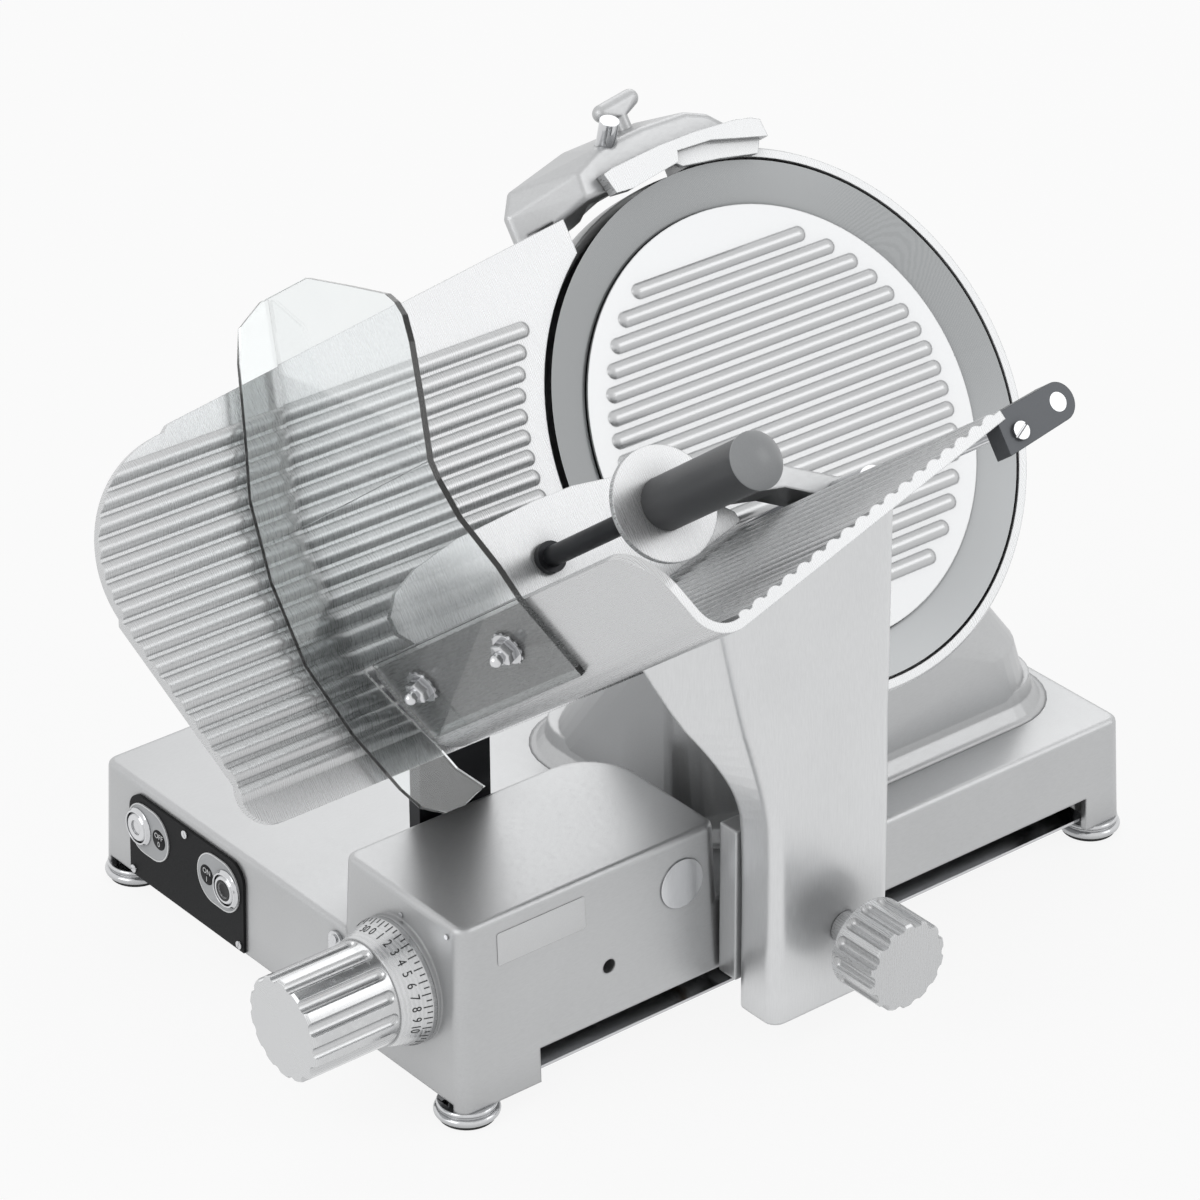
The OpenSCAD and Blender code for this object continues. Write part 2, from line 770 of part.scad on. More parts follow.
pulley_flange_t = 6;
pulley_flange_r = 58;
pulley_r = 55;
pulley_l = 26;
pulley_top = blade_floor + blade_t;
pulley_low = pulley_top + pulley_flange_t + pulley_l;
bearing_r = 26;
axle_r = 12.5;
groove_n = 5;
belt_groove = 2;
module blade_pulley() {
    color("gray") blade_frame() difference() {
        union() {
            translate([0, 0, -pulley_top]) cylinder(r = hub_r - run_gap, h = blade_t);
            translate([0, 0, -pulley_top - pulley_flange_t]) cylinder(r = pulley_flange_r, h = pulley_flange_t);
            translate([0, 0, -pulley_low]) cylinder(r = pulley_r, h = pulley_l);
        }
        translate([0, 0, -pulley_low - over]) cylinder(r = bearing_r, h = pulley_low);
        blade_screw_places() translate([0, 0, -pulley_top - pulley_flange_t])
            cylinder(r = blade_screw_r, h = pulley_flange_t + over, $fn = soft);
    }
}

bearing_l = 15;
module axle_bearings() {
    color("lightgray") blade_frame() for (z = [pulley_top + bearing_l, pulley_low]) translate([0, 0, -z])
        difference() {
            cylinder(r = bearing_r - run_gap, h = bearing_l);
            translate([0, 0, -over]) cylinder(r = axle_r, h = bearing_l + 2 * over);
        }
}

housing_back = 66;
housing_t = 6;
housing_rim = 22;
axle_top = 17.5;
tie_r = 6;
module blade_axle() {
    color("gray") blade_frame() translate([0, 0, -housing_back]) difference() {
        cylinder(r = axle_r, h = housing_back - axle_top);
        translate([0, 0, -over]) cylinder(r = tie_r, h = housing_back - axle_top + 2 * over);
    }
}

// Dished casting behind the blade
ring_gap = 1.8;
ring_in_r = blade_r + ring_gap;
ring_r = ring_in_r + ring_w;
housing_cone_in = 25;
housing_cone_r = blade_r - housing_cone_in;
housing_shoulder = 40;
motor_down = 118;
motor_shaft_r = 7;
motor_hole_gap = 5;
axle_boss_r = 28;
axle_boss_t = 6;
module blade_housing() {
    color("silver") blade_frame() difference() {
        union() {
            rotate_extrude($fn = 180) polygon([
                [0, -housing_back], [housing_cone_r, -housing_back], [ring_in_r, -housing_shoulder],
                [ring_in_r, -housing_rim], [ring_in_r - housing_t, -housing_rim],
                [ring_in_r - housing_t, -housing_shoulder + housing_t / 2],
                [housing_cone_r - housing_t / 2, -housing_back + housing_t], [0, -housing_back + housing_t]]);
            translate([0, 0, -housing_back]) cylinder(r = axle_boss_r, h = housing_t + axle_boss_t);
        }
        translate([0, 0, -housing_back - over]) cylinder(r = axle_r, h = housing_back);
        translate([0, -motor_down, -housing_back - over])
            cylinder(r = motor_shaft_r + motor_hole_gap, h = housing_t + 2 * over);
    }
}

// Casting between the deck and the dish, with the motor inside
neck_disc_r = 62;
neck_disc_down = 100;
neck_spread = 50;
motor_r = 48;
motor_l = 112;
motor_gap = 1;
neck_end_r = motor_r + 14;
neck_end_z = housing_back + motor_l + 20;
neck_left = 142.2;
neck_right = 47.8;
neck_front = 110.4;
neck_rear = 199.6;
neck_x0 = blade_x - neck_left;
neck_x1 = blade_x + neck_right;
neck_y0 = blade_y - neck_front;
neck_y1 = blade_y + neck_rear;
// Rear end and height above the deck of the casting's shoulder
neck_shoulder_in = 17;
neck_shoulder_y = neck_y1 - neck_shoulder_in;
neck_shoulder_h = 50;
neck_r = 40;
neck_flare = 16;
neck_flare_h = 20;
flare_step = 30;
module flare_level(a) {
    for (x = [neck_x0, neck_x1], y = [neck_y0, neck_y1]) let (sx = x < neck_x1 ? 1 : -1, sy = y < neck_y1 ? 1 : -1)
        translate([x + sx * neck_r, y + sy * neck_r, deck_z - slim + neck_flare_h * (1 - cos(a))])
            cylinder(r = neck_r + neck_flare * (1 - sin(a)) - slim, h = slice, $fn = soft);
}

module neck_shell(off) {
    hull() {
        for (y = [-neck_spread, neck_spread]) blade_frame() translate([y, -neck_disc_down, -housing_back - slice])
            cylinder(r = neck_disc_r - off, h = slice, $fn = soft);
        for (x = [neck_x0, neck_x1]) let (sx = x < neck_x1 ? 1 : -1)
            translate([x + sx * neck_r, neck_shoulder_y - neck_r, deck_z + neck_shoulder_h])
            cylinder(r = neck_r - off, h = slice, $fn = soft);
        blade_frame() translate([0, -motor_down, -neck_end_z + off]) cylinder(r = neck_end_r - off, h = slice, $fn = soft);
        for (x = [neck_x0, neck_x1], y = [neck_y0, neck_y1]) let (sx = x < neck_x1 ? 1 : -1, sy = y < neck_y1 ? 1 : -1)
            translate([x + sx * neck_r, y + sy * neck_r, deck_z - slim]) cylinder(r = neck_r - off, h = slice, $fn = soft);
    }
}

module motor_housing() {
    color("silver") difference() {
        union() {
            neck_shell(0);
            for (a = [0 : flare_step : 90 - flare_step]) hull() {
                flare_level(a);
                flare_level(a + flare_step);
            }
        }
        neck_shell(wall);
        translate([left_x, front_y, 0]) cube([base_w, base_l, deck_z + 2 * slice]);
        blade_frame() translate([0, -motor_down, -housing_back - motor_gap - motor_l / 2]) cylinder(r = motor_r, h = motor_l);
    }
}

module motor() {
    color("dimgray") blade_frame() translate([0, -motor_down, -housing_back - motor_l]) difference() {
        cylinder(r = motor_r - run_gap, h = motor_l);
        translate([0, 0, -over]) cylinder(r = motor_shaft_r + run_gap, h = motor_l + 2 * over);
    }
}

drive_r = 16;
drive_low = housing_back - housing_t - 2;
drive_l = 24;
module motor_shaft() {
    color("gainsboro") blade_frame() translate([0, -motor_down, 0]) {
        translate([0, 0, -housing_back - motor_l - 2 * slim])
            cylinder(r = motor_shaft_r, h = motor_l + housing_back + 2 * slim - drive_low + drive_l);
        translate([0, 0, -drive_low]) cylinder(r = drive_r, h = drive_l);
    }
}

// Flat ribbed belt round both pulleys, standing a hair off them
belt_t = 2.5;
belt_w = 16;
belt_gap = 0.3;
belt_low = 51;
module belt_loop(extra) {
    hull() {
        circle(pulley_r + belt_gap + extra);
        translate([0, -motor_down]) circle(drive_r + belt_gap + extra);
    }
}

module drive_belt() {
    color("#202020") blade_frame() translate([0, 0, -belt_low + slim]) difference() {
        linear_extrude(belt_w) belt_loop(belt_t);
        translate([0, 0, -over]) linear_extrude(belt_w + 2 * over) belt_loop(0);
    }
}

// Ring guard round the side of the blade that doesn't cut
ring_from = -112;
ring_turn = 200;
ring_front = 0.5;
ring_depth = 30;
ring_chamfer = 3;
module ring_guard() {
    color("lightgray") blade_frame() rotate(ring_from) rotate_extrude(angle = ring_turn, $fn = 180) polygon([
        [ring_in_r, -ring_depth], [ring_r, -ring_depth], [ring_r, ring_front - ring_chamfer],
        [ring_r - ring_chamfer / 2, ring_front], [ring_in_r, ring_front]]);
}

// Cover plate in the blade's dish, held by a rod through the axle
cover_top = 4.4;
cover_rim_t = 2;
cover_boss_r = 16;
cover_rib_in = 12.5;
cover_rib_r = cover_r - cover_rib_in;
cover_rib_rim = 22;
cover_rib_first = cover_rib_r - cover_rib_rim;
cover_ribs_n = 1 + round(2 * cover_rib_first / cover_rib_pitch);
module cover_plate() {
    color("whitesmoke") blade_frame() difference() {
        union() {
            translate([0, 0, -cover_top - cover_rim_t]) cylinder(r = cover_r, h = cover_rim_t, $fn = 180);
            translate([0, 0, -axle_top]) cylinder(r = cover_boss_r, h = axle_top - cover_top);
            intersection() {
                for (i = [0 : cover_ribs_n - 1]) let (y = cover_rib_first - i * cover_rib_pitch,
                    half = sqrt(pow(cover_rib_r, 2) - y * y) - rib_r)
                    translate([0, y, -cover_top]) rib_bar(-half, half);
                translate([0, 0, -cover_top - slim]) cylinder(r = cover_r, h = rib_h + 2 * slim);
            }
        }
        translate([0, 0, -axle_top - over]) cylinder(r = tie_r, h = axle_top - cover_top - cover_rim_t + over);
    }
}

knob_back_r = 20;
knob_back_l = 22;
module tie_rod() {
    color("gainsboro") blade_frame() translate([0, 0, -housing_back - knob_back_l])
        cylinder(r = tie_r - run_gap, h = housing_back + knob_back_l - cover_top - cover_rim_t - slim);
}

module tie_rod_knob() {
    color("#262626") blade_frame() difference() {
        translate([0, 0, -housing_back - close_gap]) mirror([0, 0, 1])
            fluted_grip(knob_back_r, knob_back_l, flute_rim / 2, dial_flute_r, dial_flute_depth / 2);
        translate([0, 0, -housing_back - knob_back_l]) cylinder(r = tie_r, h = knob_back_l + over);
    }
}

// Carriage

// The trough's frame sits at the fold between tray and fence, in the blade's frame
fold_y = -337.5;
fold_m = -117;
trough_n = 10;
fold_r = 26;
tray_ribs = 18;
rib_start = 26;
module trough_frame() {
    blade_frame() translate([fold_y, fold_m, trough_n]) children();
}

// How far the outer round of the fold reaches along each leg
fold_half = (180 - tray_rise - fence_rise) / 2;
fold_mid = tray_rise + fold_half;
fold_c = fold_r / sin(fold_half) * [cos(fold_mid), sin(fold_mid)];
fold_steps = 14;
fold_reach = fold_r / tan(fold_half);
tray_dir = [cos(tray_rise), sin(tray_rise)];
tray_up = [-sin(tray_rise), cos(tray_rise)];
fence_dir = [-cos(fence_rise), sin(fence_rise)];
fence_in = [sin(fence_rise), cos(fence_rise)];
function arc_at(r, a0, a1) = [for (i = [0 : fold_steps]) let (a = a0 + (a1 - a0) * i / fold_steps) r * [cos(a), sin(a)]];
function fold_arc(r, a0, a1) = [for (p = arc_at(r, a0, a1)) fold_c + p];

// Crowns of the ribs along the tray's upper face, each from its left foot to its right one
rib_steps = 8;
rib_half = asin(rib_w / 2 / rib_r);
function crown(x) = [for (i = [0 : rib_steps]) let (a = 90 + rib_half - 2 * rib_half * i / rib_steps)
    [x + rib_r * cos(a), tray_t + rib_h - rib_r + rib_r * sin(a)]];
function crowns() = [for (i = [0 : tray_ribs - 1]) each
    [for (p = crown(rib_start + i * tray_rib_pitch)) if (p[0] > fold_reach) p[0] * tray_dir + p[1] * tray_up]];

// Tray, fold and fence in one outline, with the ribs' crowns on the tray
module trough_section() {
    a0 = tray_rise - 90;
    a1 = -90 - fence_rise;
    polygon(concat([tray_l * tray_dir], fold_arc(fold_r, a0, a1), [fence_h * fence_dir, fence_h * fence_dir + tray_t * fence_in],
        fold_arc(fold_r - tray_t, a1, a0), crowns(), [tray_l * tray_dir + tray_t * tray_up]));
}

// What is cut from a square corner at the origin to round it
module corner_cut(r) {
    polygon(concat([for (p = arc_at(r, 0, 90)) [p[0] - r, p[1] - r]], [[-r, over], [over, over], [over, -r]]));
}

// The fence's inner face seen flat: x up the fence and y along the ribs
module on_fence() {
    rotate(180 - fence_rise) rotate([-90, 0, 0]) mirror([0, 1, 0]) children();
}

fence_corner_r = 34;
fence_far_r = 10;
module trough() {
    color("gainsboro") trough_frame() difference() {
        linear_extrude(trough_w) trough_section();
        on_fence() translate([fence_h, trough_w, -tray_t - over]) linear_extrude(tray_t + 2 * over)
            corner_cut(fence_corner_r);
        on_fence() translate([fence_h, 0, -tray_t - over]) linear_extrude(tray_t + 2 * over)
            mirror([0, 1]) corner_cut(fence_far_r);
        guard_stud_places() translate([0, 0, -tray_t - over]) cylinder(r = stud_r, h = tray_t + 2 * over, $fn = soft);
    }
}

stud_r = 4;
stud_at = [[51.5, 42.6], [51.5, 147.6]];
module guard_stud_places() {
    rotate(180 - fence_rise) for (p = stud_at) translate([p[0], 0, p[1]]) rotate([-90, 0, 0]) children();
}

washer_r = 10.5;
washer_t = 1.6;
nut_r = 6;
nut_h = 8;
guard_t = 4;
module guard_studs() {
    color("silver") trough_frame() guard_stud_places() {
        translate([0, 0, -tray_t]) cylinder(r = stud_r, h = tray_t + guard_t, $fn = soft);
        translate([0, 0, guard_t]) {
            cylinder(r = washer_r, h = washer_t);
            cylinder(r = nut_r, h = nut_h);
            translate([0, 0, nut_h]) cylinder(r = stud_r, h = nut_h / 2, $fn = soft);
            translate([0, 0, 1.5 * nut_h]) sphere(r = stud_r, $fn = soft);
        }
    }
}

// Clear guard: a flange on the fence, a sheet that bends over above it, and a wing before the gauge plate
guard_fold_up = 76;
flange_low = 18;
flange_n0 = 12;
flange_n1 = 190;
wing_n = 4;
guard_lean = 16;
guard_bend_up = 92;
guard_lap = 0.4;
// Outlines of the lower and the upper part of the sheet: distance from the blade's plane, and height
lower_at = [[wing_n, -1], [200.7, -1], [193, 20], [174.7, 55], [169.4, 80], [169, 92], [wing_n, 92]];
upper_at = [[wing_n, -0.4], [169, -0.4], [169.5, 34], [168.4, 71], [165.1, 88], [158.3, 97.6], [149.3, 105], [107.7, 121.6],
    [57.6, 140.8], [wing_n, 142.6]];
// Outline of the wing, from the fold at the fence
wing_at = [[0, 0], [0, 92], [39, 228], [33, 229], [12, 218], [2, 198], [-15, 150], [-27, 118], [-35, 68], [-35, 14],
    [-23, -35], [-7, -76], [1.6, -91], [16, -99.5], [29, -99.5], [47.6, -93.6], [34.7, -77], [27.7, -59], [10, -24]];
guard_y = fold_y - guard_fold_up * cos(fence_rise) - guard_t / 2;
guard_m = fold_m + guard_fold_up * sin(fence_rise);
module hand_guard() {
    color("#dfe9ee", 0.4) {
        trough_frame() difference() {
            rotate(180 - fence_rise) rotate([-90, 0, 0]) mirror([0, 1]) linear_extrude(guard_t)
                translate([flange_low, flange_n0]) square([guard_fold_up - flange_low, flange_n1 - flange_n0]);
            guard_stud_places() translate([0, 0, -over]) cylinder(r = stud_r, h = guard_t + 2 * over, $fn = soft);
        }
        blade_frame() translate([guard_y + guard_t / 2, guard_m, 0]) rotate([0, -90, 0])
            linear_extrude(guard_t) polygon(lower_at);
        blade_frame() translate([guard_y, guard_m + guard_bend_up, 0]) rotate(-guard_lean)
            translate([guard_t / 2, 0, 0]) rotate([0, -90, 0]) linear_extrude(guard_t) polygon(upper_at);
        blade_frame() translate([guard_y, guard_m, wing_n]) linear_extrude(guard_t) polygon(wing_at);
    }
}

// End bracket and guide rod of the pusher, along the rear edge of the tray
rod_y = -51;
rod_m = -60;
pusher_rod_r = 6;
bracket_t = 14;
bracket_r = 12;
bracket_reach = 47;
module pusher_rod() {
    color("gainsboro") blade_frame() translate([rod_y, rod_m, trough_n + bracket_t])
        cylinder(r = pusher_rod_r, h = trough_w - bracket_t);
}

module end_bracket() {
    color("#3a3a3a") difference() {
        for (z = [trough_n, trough_n + trough_w - bracket_t]) blade_frame() translate([0, 0, z]) linear_extrude(bracket_t)
            difference() {
                union() {
                    translate([rod_y, rod_m]) circle(bracket_r);
                    polygon([
                        [rod_y + bracket_r * sin(tray_rise), rod_m - bracket_r * cos(tray_rise)],
                        [rod_y - bracket_r * sin(tray_rise), rod_m + bracket_r * cos(tray_rise)],
                        [rod_y - bracket_reach, rod_m + bracket_r * 0.55],
                        [rod_y - bracket_reach, rod_m - bracket_r * 1.6]]);
                }
                translate([fold_y, fold_m]) rotate(tray_rise) square([tray_l, tray_t + 2 * rib_h]);
            }
        blade_frame() translate([rod_y, rod_m, trough_n + bracket_t]) cylinder(r = pusher_rod_r, h = trough_w - bracket_t + over);
    }
}

// Pusher

pusher_n = 52;
collar_l = 76;
collar_r = 9.5;
collar_lip_r = 12;
collar_lip_t = 4;
hub_seat = 36;
hub_gap = 0.3;
module slider_collar() {
    color("silver") blade_frame() translate([rod_y, rod_m, pusher_n]) difference() {
        union() {
            cylinder(r = collar_r, h = collar_l);
            cylinder(r = collar_lip_r, h = collar_lip_t);
            translate([0, 0, collar_lip_t + hub_seat]) cylinder(r = collar_lip_r, h = collar_l - collar_lip_t - hub_seat);
        }
        translate([0, 0, -over]) cylinder(r = pusher_rod_r + run_gap, h = collar_l + 2 * over);
    }
}

hub_out_r = 14;
plate_t = 5;
stem_y = -245.7;
stem_m = -27;
module pusher_arm() {
    color("silver") blade_frame() translate([0, 0, pusher_n + collar_lip_t + hub_gap]) difference() {
        hub_l = hub_seat - 2 * hub_gap;
        union() {
            translate([rod_y, rod_m, 0]) cylinder(r = hub_out_r, h = hub_l);
            hull() {
                translate([rod_y, rod_m + hub_out_r / 2, 0]) cylinder(r = hub_out_r / 2, h = hub_l, $fn = soft);
                translate([arm_knee_y, arm_knee_m, 0]) cylinder(r = hub_out_r / 2, h = hub_l, $fn = soft);
            }
            hull() {
                translate([arm_knee_y, arm_knee_m, 0]) cylinder(r = hub_out_r / 2, h = hub_l, $fn = soft);
                translate([arm_end_y, arm_end_m, 0]) cylinder(r = hub_out_r / 2, h = hub_l, $fn = soft);
            }
        }
        translate([rod_y, rod_m, -over]) cylinder(r = collar_r + run_gap, h = hub_l + 2 * over);
    }
}
arm_knee_y = -86;
arm_knee_m = -34;
arm_end_y = -150;
arm_end_m = -22;

// Shares of the plate's width and height, from its lower left corner
pusher_h = 110;
pusher_shares = [[0.155, 0], [1, 0.473], [0.992, 0.536], [0.919, 0.69], [0.822, 0.845], [0.709, 0.964],
    [0.589, 1], [0.473, 0.997], [0.248, 0.955], [0.112, 0.882], [0.039, 0.8], [0.002, 0.69], [0.004, 0.59],
    [0.031, 0.518], [0.066, 0.282], [0.093, 0.118]];
pusher_y0 = -362;
pusher_m0 = -101;
spike_n = 6;
spike_r = 2;
spike_l = 6;
module pusher_plate() {
    color("lightgray") blade_frame() translate([0, 0, pusher_n + collar_lip_t + hub_gap - plate_t]) {
        translate([pusher_y0, pusher_m0, 0]) linear_extrude(plate_t)
            polygon([for (p = pusher_shares) [p[0] * pusher_w, p[1] * pusher_h]]);
        for (i = [0 : spike_n - 1], j = [0, 1]) translate([
            pusher_y0 + (i + 0.8 + 0.4 * j) * pusher_w / (spike_n + 1), pusher_m0 + (0.42 + 0.24 * j) * pusher_h, -spike_l])
            cylinder(r1 = spike_r / 8, r2 = spike_r, h = spike_l, $fn = 16);
    }
}

stem_face = pusher_n + collar_lip_t + hub_gap;
stem_rod_r = 6.5;
disc_n = 191.5;
bush_r = 10;
bush_t = 5;
module pusher_stem() {
    color("#4a4a4a") blade_frame() translate([stem_y, stem_m, stem_face]) {
        cylinder(r = bush_r, h = bush_t);
        cylinder(r = stem_rod_r, h = disc_n - stem_face + grip_l / 2);
    }
}

disc_t = 4;
module guard_disc() {
    color("silver") blade_frame() translate([stem_y, stem_m, disc_n]) difference() {
        cylinder(r = disc_r, h = disc_t, $fn = 96);
        translate([0, 0, -over]) cylinder(r = stem_rod_r, h = disc_t + 2 * over);
    }
}

cap_r = grip_r + 0.8;
cap_dome = 6;
module grip() {
    color("#5a5a5c") blade_frame() translate([stem_y, stem_m, disc_n + disc_t]) difference() {
        union() {
            cylinder(r = grip_r, h = grip_l);
            translate([0, 0, grip_l]) rotate_extrude() intersection() {
                translate([0, cap_dome - cap_ball]) circle(cap_ball, $fn = 128);
                translate([0, -slim]) square([cap_r, cap_dome + slim]);
            }
        }
        translate([0, 0, -over]) cylinder(r = stem_rod_r, h = grip_l / 2 - disc_t + over);
    }
}
cap_ball = (cap_r * cap_r + cap_dome * cap_dome) / (2 * cap_dome);

// Arm, foot and lock knob of the carriage

arm_gap = 18;
arm_x0 = right_x + arm_gap;
arm_x1 = arm_x0 + arm_t;
arm_back = 207;
arm_y0 = front_y + arm_back;
arm_y1 = arm_y0 + arm_w;
arm_z0 = foot_h + 8;
arm_bend_z = foot_h + 141;
arm_corner = 9;
// Sections of the arm: height above the table, then inner front, outer front, outer rear and inner rear corners,
// each as a distance from the arm's lower inner face and from its lower front face
arm_levels = [
    [arm_z0, [0, 0], [arm_t, 0], [arm_t, arm_w], [0, arm_w]],
    [arm_bend_z, [0, 0], [arm_t, 0], [arm_t, arm_w], [0, arm_w]],
    [arm_bend_z + 30, [1, -8], [arm_t - 1, -3], [arm_t - 1, arm_w], [1, arm_w]],
    [arm_bend_z + 62, [-3, -26], [arm_t - 3, -11], [arm_t - 3, arm_w + 1], [-3, arm_w + 1]],
    [arm_bend_z + 96, [-13, -50], [arm_t - 6, -20], [arm_t - 6, arm_w + 4], [-13, arm_w + 4]],
    [arm_bend_z + 220, [-45, -104], [arm_t - 24, -36], [arm_t - 24, arm_w + 20], [-45, arm_w + 20]]];
// The bends between the levels are rounded off by cutting their corners twice
arm_cut = 0.25;
function arm_rounded(l) = concat([l[0]], [for (i = [0 : len(l) - 2], t = [arm_cut, 1 - arm_cut])
    l[i] * (1 - t) + l[i + 1] * t], [l[len(l) - 1]]);
arm_corner_steps = 8;
function arm_ring(level) = [for (i = [1 : 4], k = [0 : arm_corner_steps])
    let (a = 90 * (i + 1) + 90 * k / arm_corner_steps)
        [arm_x0 + level[i][0] + (i == 2 || i == 3 ? -arm_corner : arm_corner) + arm_corner * cos(a),
         arm_y0 + level[i][1] + (i < 3 ? arm_corner : -arm_corner) + arm_corner * sin(a), level[0]]];
// One skin laid over all the levels
module arm_body() {
    rings = [for (level = arm_rounded(arm_rounded(arm_levels))) arm_ring(level)];
    n = len(rings[0]);
    m = len(rings);
    polyhedron([for (ring = rings, p = ring) p], concat(
        [[for (k = [0 : n - 1]) k]],
        [for (j = [0 : m - 2], k = [0 : n - 1]) [j * n + k, j * n + n + k, j * n + n + (k + 1) % n]],
        [for (j = [0 : m - 2], k = [0 : n - 1]) [j * n + k, j * n + n + (k + 1) % n, j * n + (k + 1) % n]],
        [[for (k = [n - 1 : -1 : 0]) (m - 1) * n + k]]));
}

arm_shell = 7;
// Room round the pusher's rod
rod_room = 17;
foot_rise = 136;
foot_top = foot_h + foot_rise;
module carriage_arm() {
    color("silver") difference() {
        arm_body();
        trough_frame() rotate(tray_rise) translate([-blade_d, 0, -blade_d]) cube([3 * blade_d, blade_d, 3 * blade_d]);
        translate([arm_x0 - over, arm_y0 + arm_shell, arm_z0 - over])
            cube([arm_t - arm_shell + over, arm_w - 2 * arm_shell, foot_top - arm_z0 + over]);
        blade_frame() translate([rod_y, rod_m, -blade_d]) {
            cylinder(r = rod_room, h = 3 * blade_d);
            translate([-rod_room, 0, 0]) cube([blade_d, blade_d, 3 * blade_d]);
            translate([0, -rod_room, 0]) cube([blade_d, blade_d, 3 * blade_d]);
        }
        lock_place() translate([0, 0, -arm_shell - over]) cylinder(r = lock_stud_r + run_gap, h = arm_shell + 2 * over);
    }
}

foot_wall_gap = 1.6;
foot_in = 0.4;
tongue_t = 11;
tongue_w = 56;
tongue_gap = 3;
tongue_z1 = foot_h + arch_h - tongue_gap;
tongue_z0 = tongue_z1 - tongue_t;
sleeve_r = guide_r + 8;
sleeve_l = 90;
shoe_w = 20;
arm_mid_y = arm_y0 + arm_w / 2;
module carriage_foot() {
    color("#202020") difference() {
        union() {
            translate([right_x + foot_wall_gap, arm_y0 + foot_in, foot_h + arch_h])
                cube([arm_gap - foot_wall_gap - foot_in, arm_w - 2 * foot_in, foot_top - foot_h - arch_h]);
            translate([arm_x0 - foot_in, arm_y0 + arm_shell + foot_in, tongue_z0])
                cube([arm_t - arm_shell, arm_w - 2 * arm_shell - 2 * foot_in, foot_top - tongue_z0 - foot_in]);
            translate([bar_x - shoe_w / 2, arm_mid_y - tongue_w / 2, tongue_z0])
                cube([arm_x0 - bar_x + shoe_w / 2, tongue_w, tongue_t]);
            translate([guide_x, arm_mid_y + sleeve_l / 2, guide_z]) to_front() cylinder(r = sleeve_r, h = sleeve_l);
            translate([guide_x - sleeve_r / 2, arm_mid_y - tongue_w / 2, tongue_z1 - slim])
                cube([sleeve_r, tongue_w, guide_z - tongue_z1]);
            translate([bar_x - shoe_w / 2, arm_mid_y - tongue_w / 2, tongue_z0]) cube([shoe_w, tongue_w, bar_z + bar_t + shoe_cap - tongue_z0]);
        }
        translate([guide_x, arm_mid_y + sleeve_l / 2 + over, guide_z]) to_front()
            cylinder(r = bush_out_r, h = sleeve_l + 2 * over);
        translate([bar_x - bar_w / 2 - close_gap, arm_mid_y - tongue_w, bar_z - close_gap])
            cube([bar_w + 2 * close_gap, 2 * tongue_w, bar_t + shoe_cap + 2 * close_gap]);
        lock_place() translate([0, 0, -arm_t]) cylinder(r = lock_stud_r + run_gap, h = arm_t + over);
    }
}
shoe_cap = 3;

bush_out_r = guide_r + 3.5;
bush_l = 30;
module slide_bushes() {
    color("peru") for (y = [arm_mid_y - sleeve_l / 2, arm_mid_y + sleeve_l / 2 - bush_l])
        translate([guide_x, y + bush_l, guide_z]) to_front() difference() {
            cylinder(r = bush_out_r, h = bush_l);
            translate([0, 0, -over]) cylinder(r = guide_r + run_gap, h = bush_l + 2 * over);
        }
}

lock_h = 62;
lock_back = 58;
lock_stud_r = 6;
lock_collar_r = 11;
lock_collar_l = 24;
lock_r = 31;
lock_l = 38;
lock_stud_l = 14;
module lock_place() {
    translate([arm_x1, arm_y0 + lock_back, foot_h + lock_h]) to_right() children();
}

module lock_knob() {
    color("lightgray") lock_place() {
        translate([0, 0, -lock_stud_l]) cylinder(r = lock_stud_r, h = lock_stud_l + lock_collar_l);
        translate([0, 0, close_gap]) cylinder(r = lock_collar_r, h = lock_collar_l);
        translate([0, 0, lock_collar_l]) fluted_grip(lock_r, lock_l, flute_rim, dial_flute_r, dial_flute_depth);
    }
}

// Sharpener on top of the blade

// The sharpener's heights are given for this radius of the ring guard, and follow it
sharp_ref_r = 184;
module sharpener_frame() {
    blade_frame() translate([0, ring_r - sharp_ref_r, 0]) children();
}
sharp_gap = 2;
sharp_low = ring_r + close_gap;
sharp_front = 2;
sharp_back = 38;
sharp_round = 5;
// Outlines of the housing's back and front, about the blade's centre
sharp_back_at = [[-116, 170], [-116, 190], [-108, 202], [-60, 214.5], [0, 218], [38, 209], [52, 193]];
sharp_front_at = [[-79, 186], [-78, 198], [-58, 207], [-20, 211], [16, 211], [30, 206], [41, 196]];
module sharpener_body() {
    color("silver") difference() {
        sharpener_frame() difference() {
            hull() {
                for (p = sharp_back_at) translate([p[0], p[1] - sharp_round, sharp_round - sharp_back])
                    sphere(r = sharp_round, $fn = 16);
                for (p = sharp_front_at) translate([p[0], p[1] - sharp_round, sharp_front - sharp_round])
                    sphere(r = sharp_round, $fn = 16);
            }
            translate([0, 0, -2 * sharp_back]) cylinder(r = sharp_low, h = 3 * sharp_back, $fn = 180);
            translate([0, 0, -gauge_back - slice_max - sharp_gap]) linear_extrude(gauge_back + slice_max + 2 * sharp_gap)
                translate([0, sharp_gap]) gauge_outline();
            translate([stone_y - stone_room, sharp_low - 2 * stone_r, -stone_back])
                cube([2 * stone_room, 2 * stone_r + stone_high, stone_back - sharp_round]);
        }
        rod_place() translate([0, 0, -rod_depth - push_travel - slim])
            cylinder(r = push_r + run_gap, h = 2 * rod_depth + push_travel);
        knob_place() translate([0, 0, -knob_depth]) cylinder(r = knob_stem_r + run_gap, h = 2 * knob_depth);
    }
}

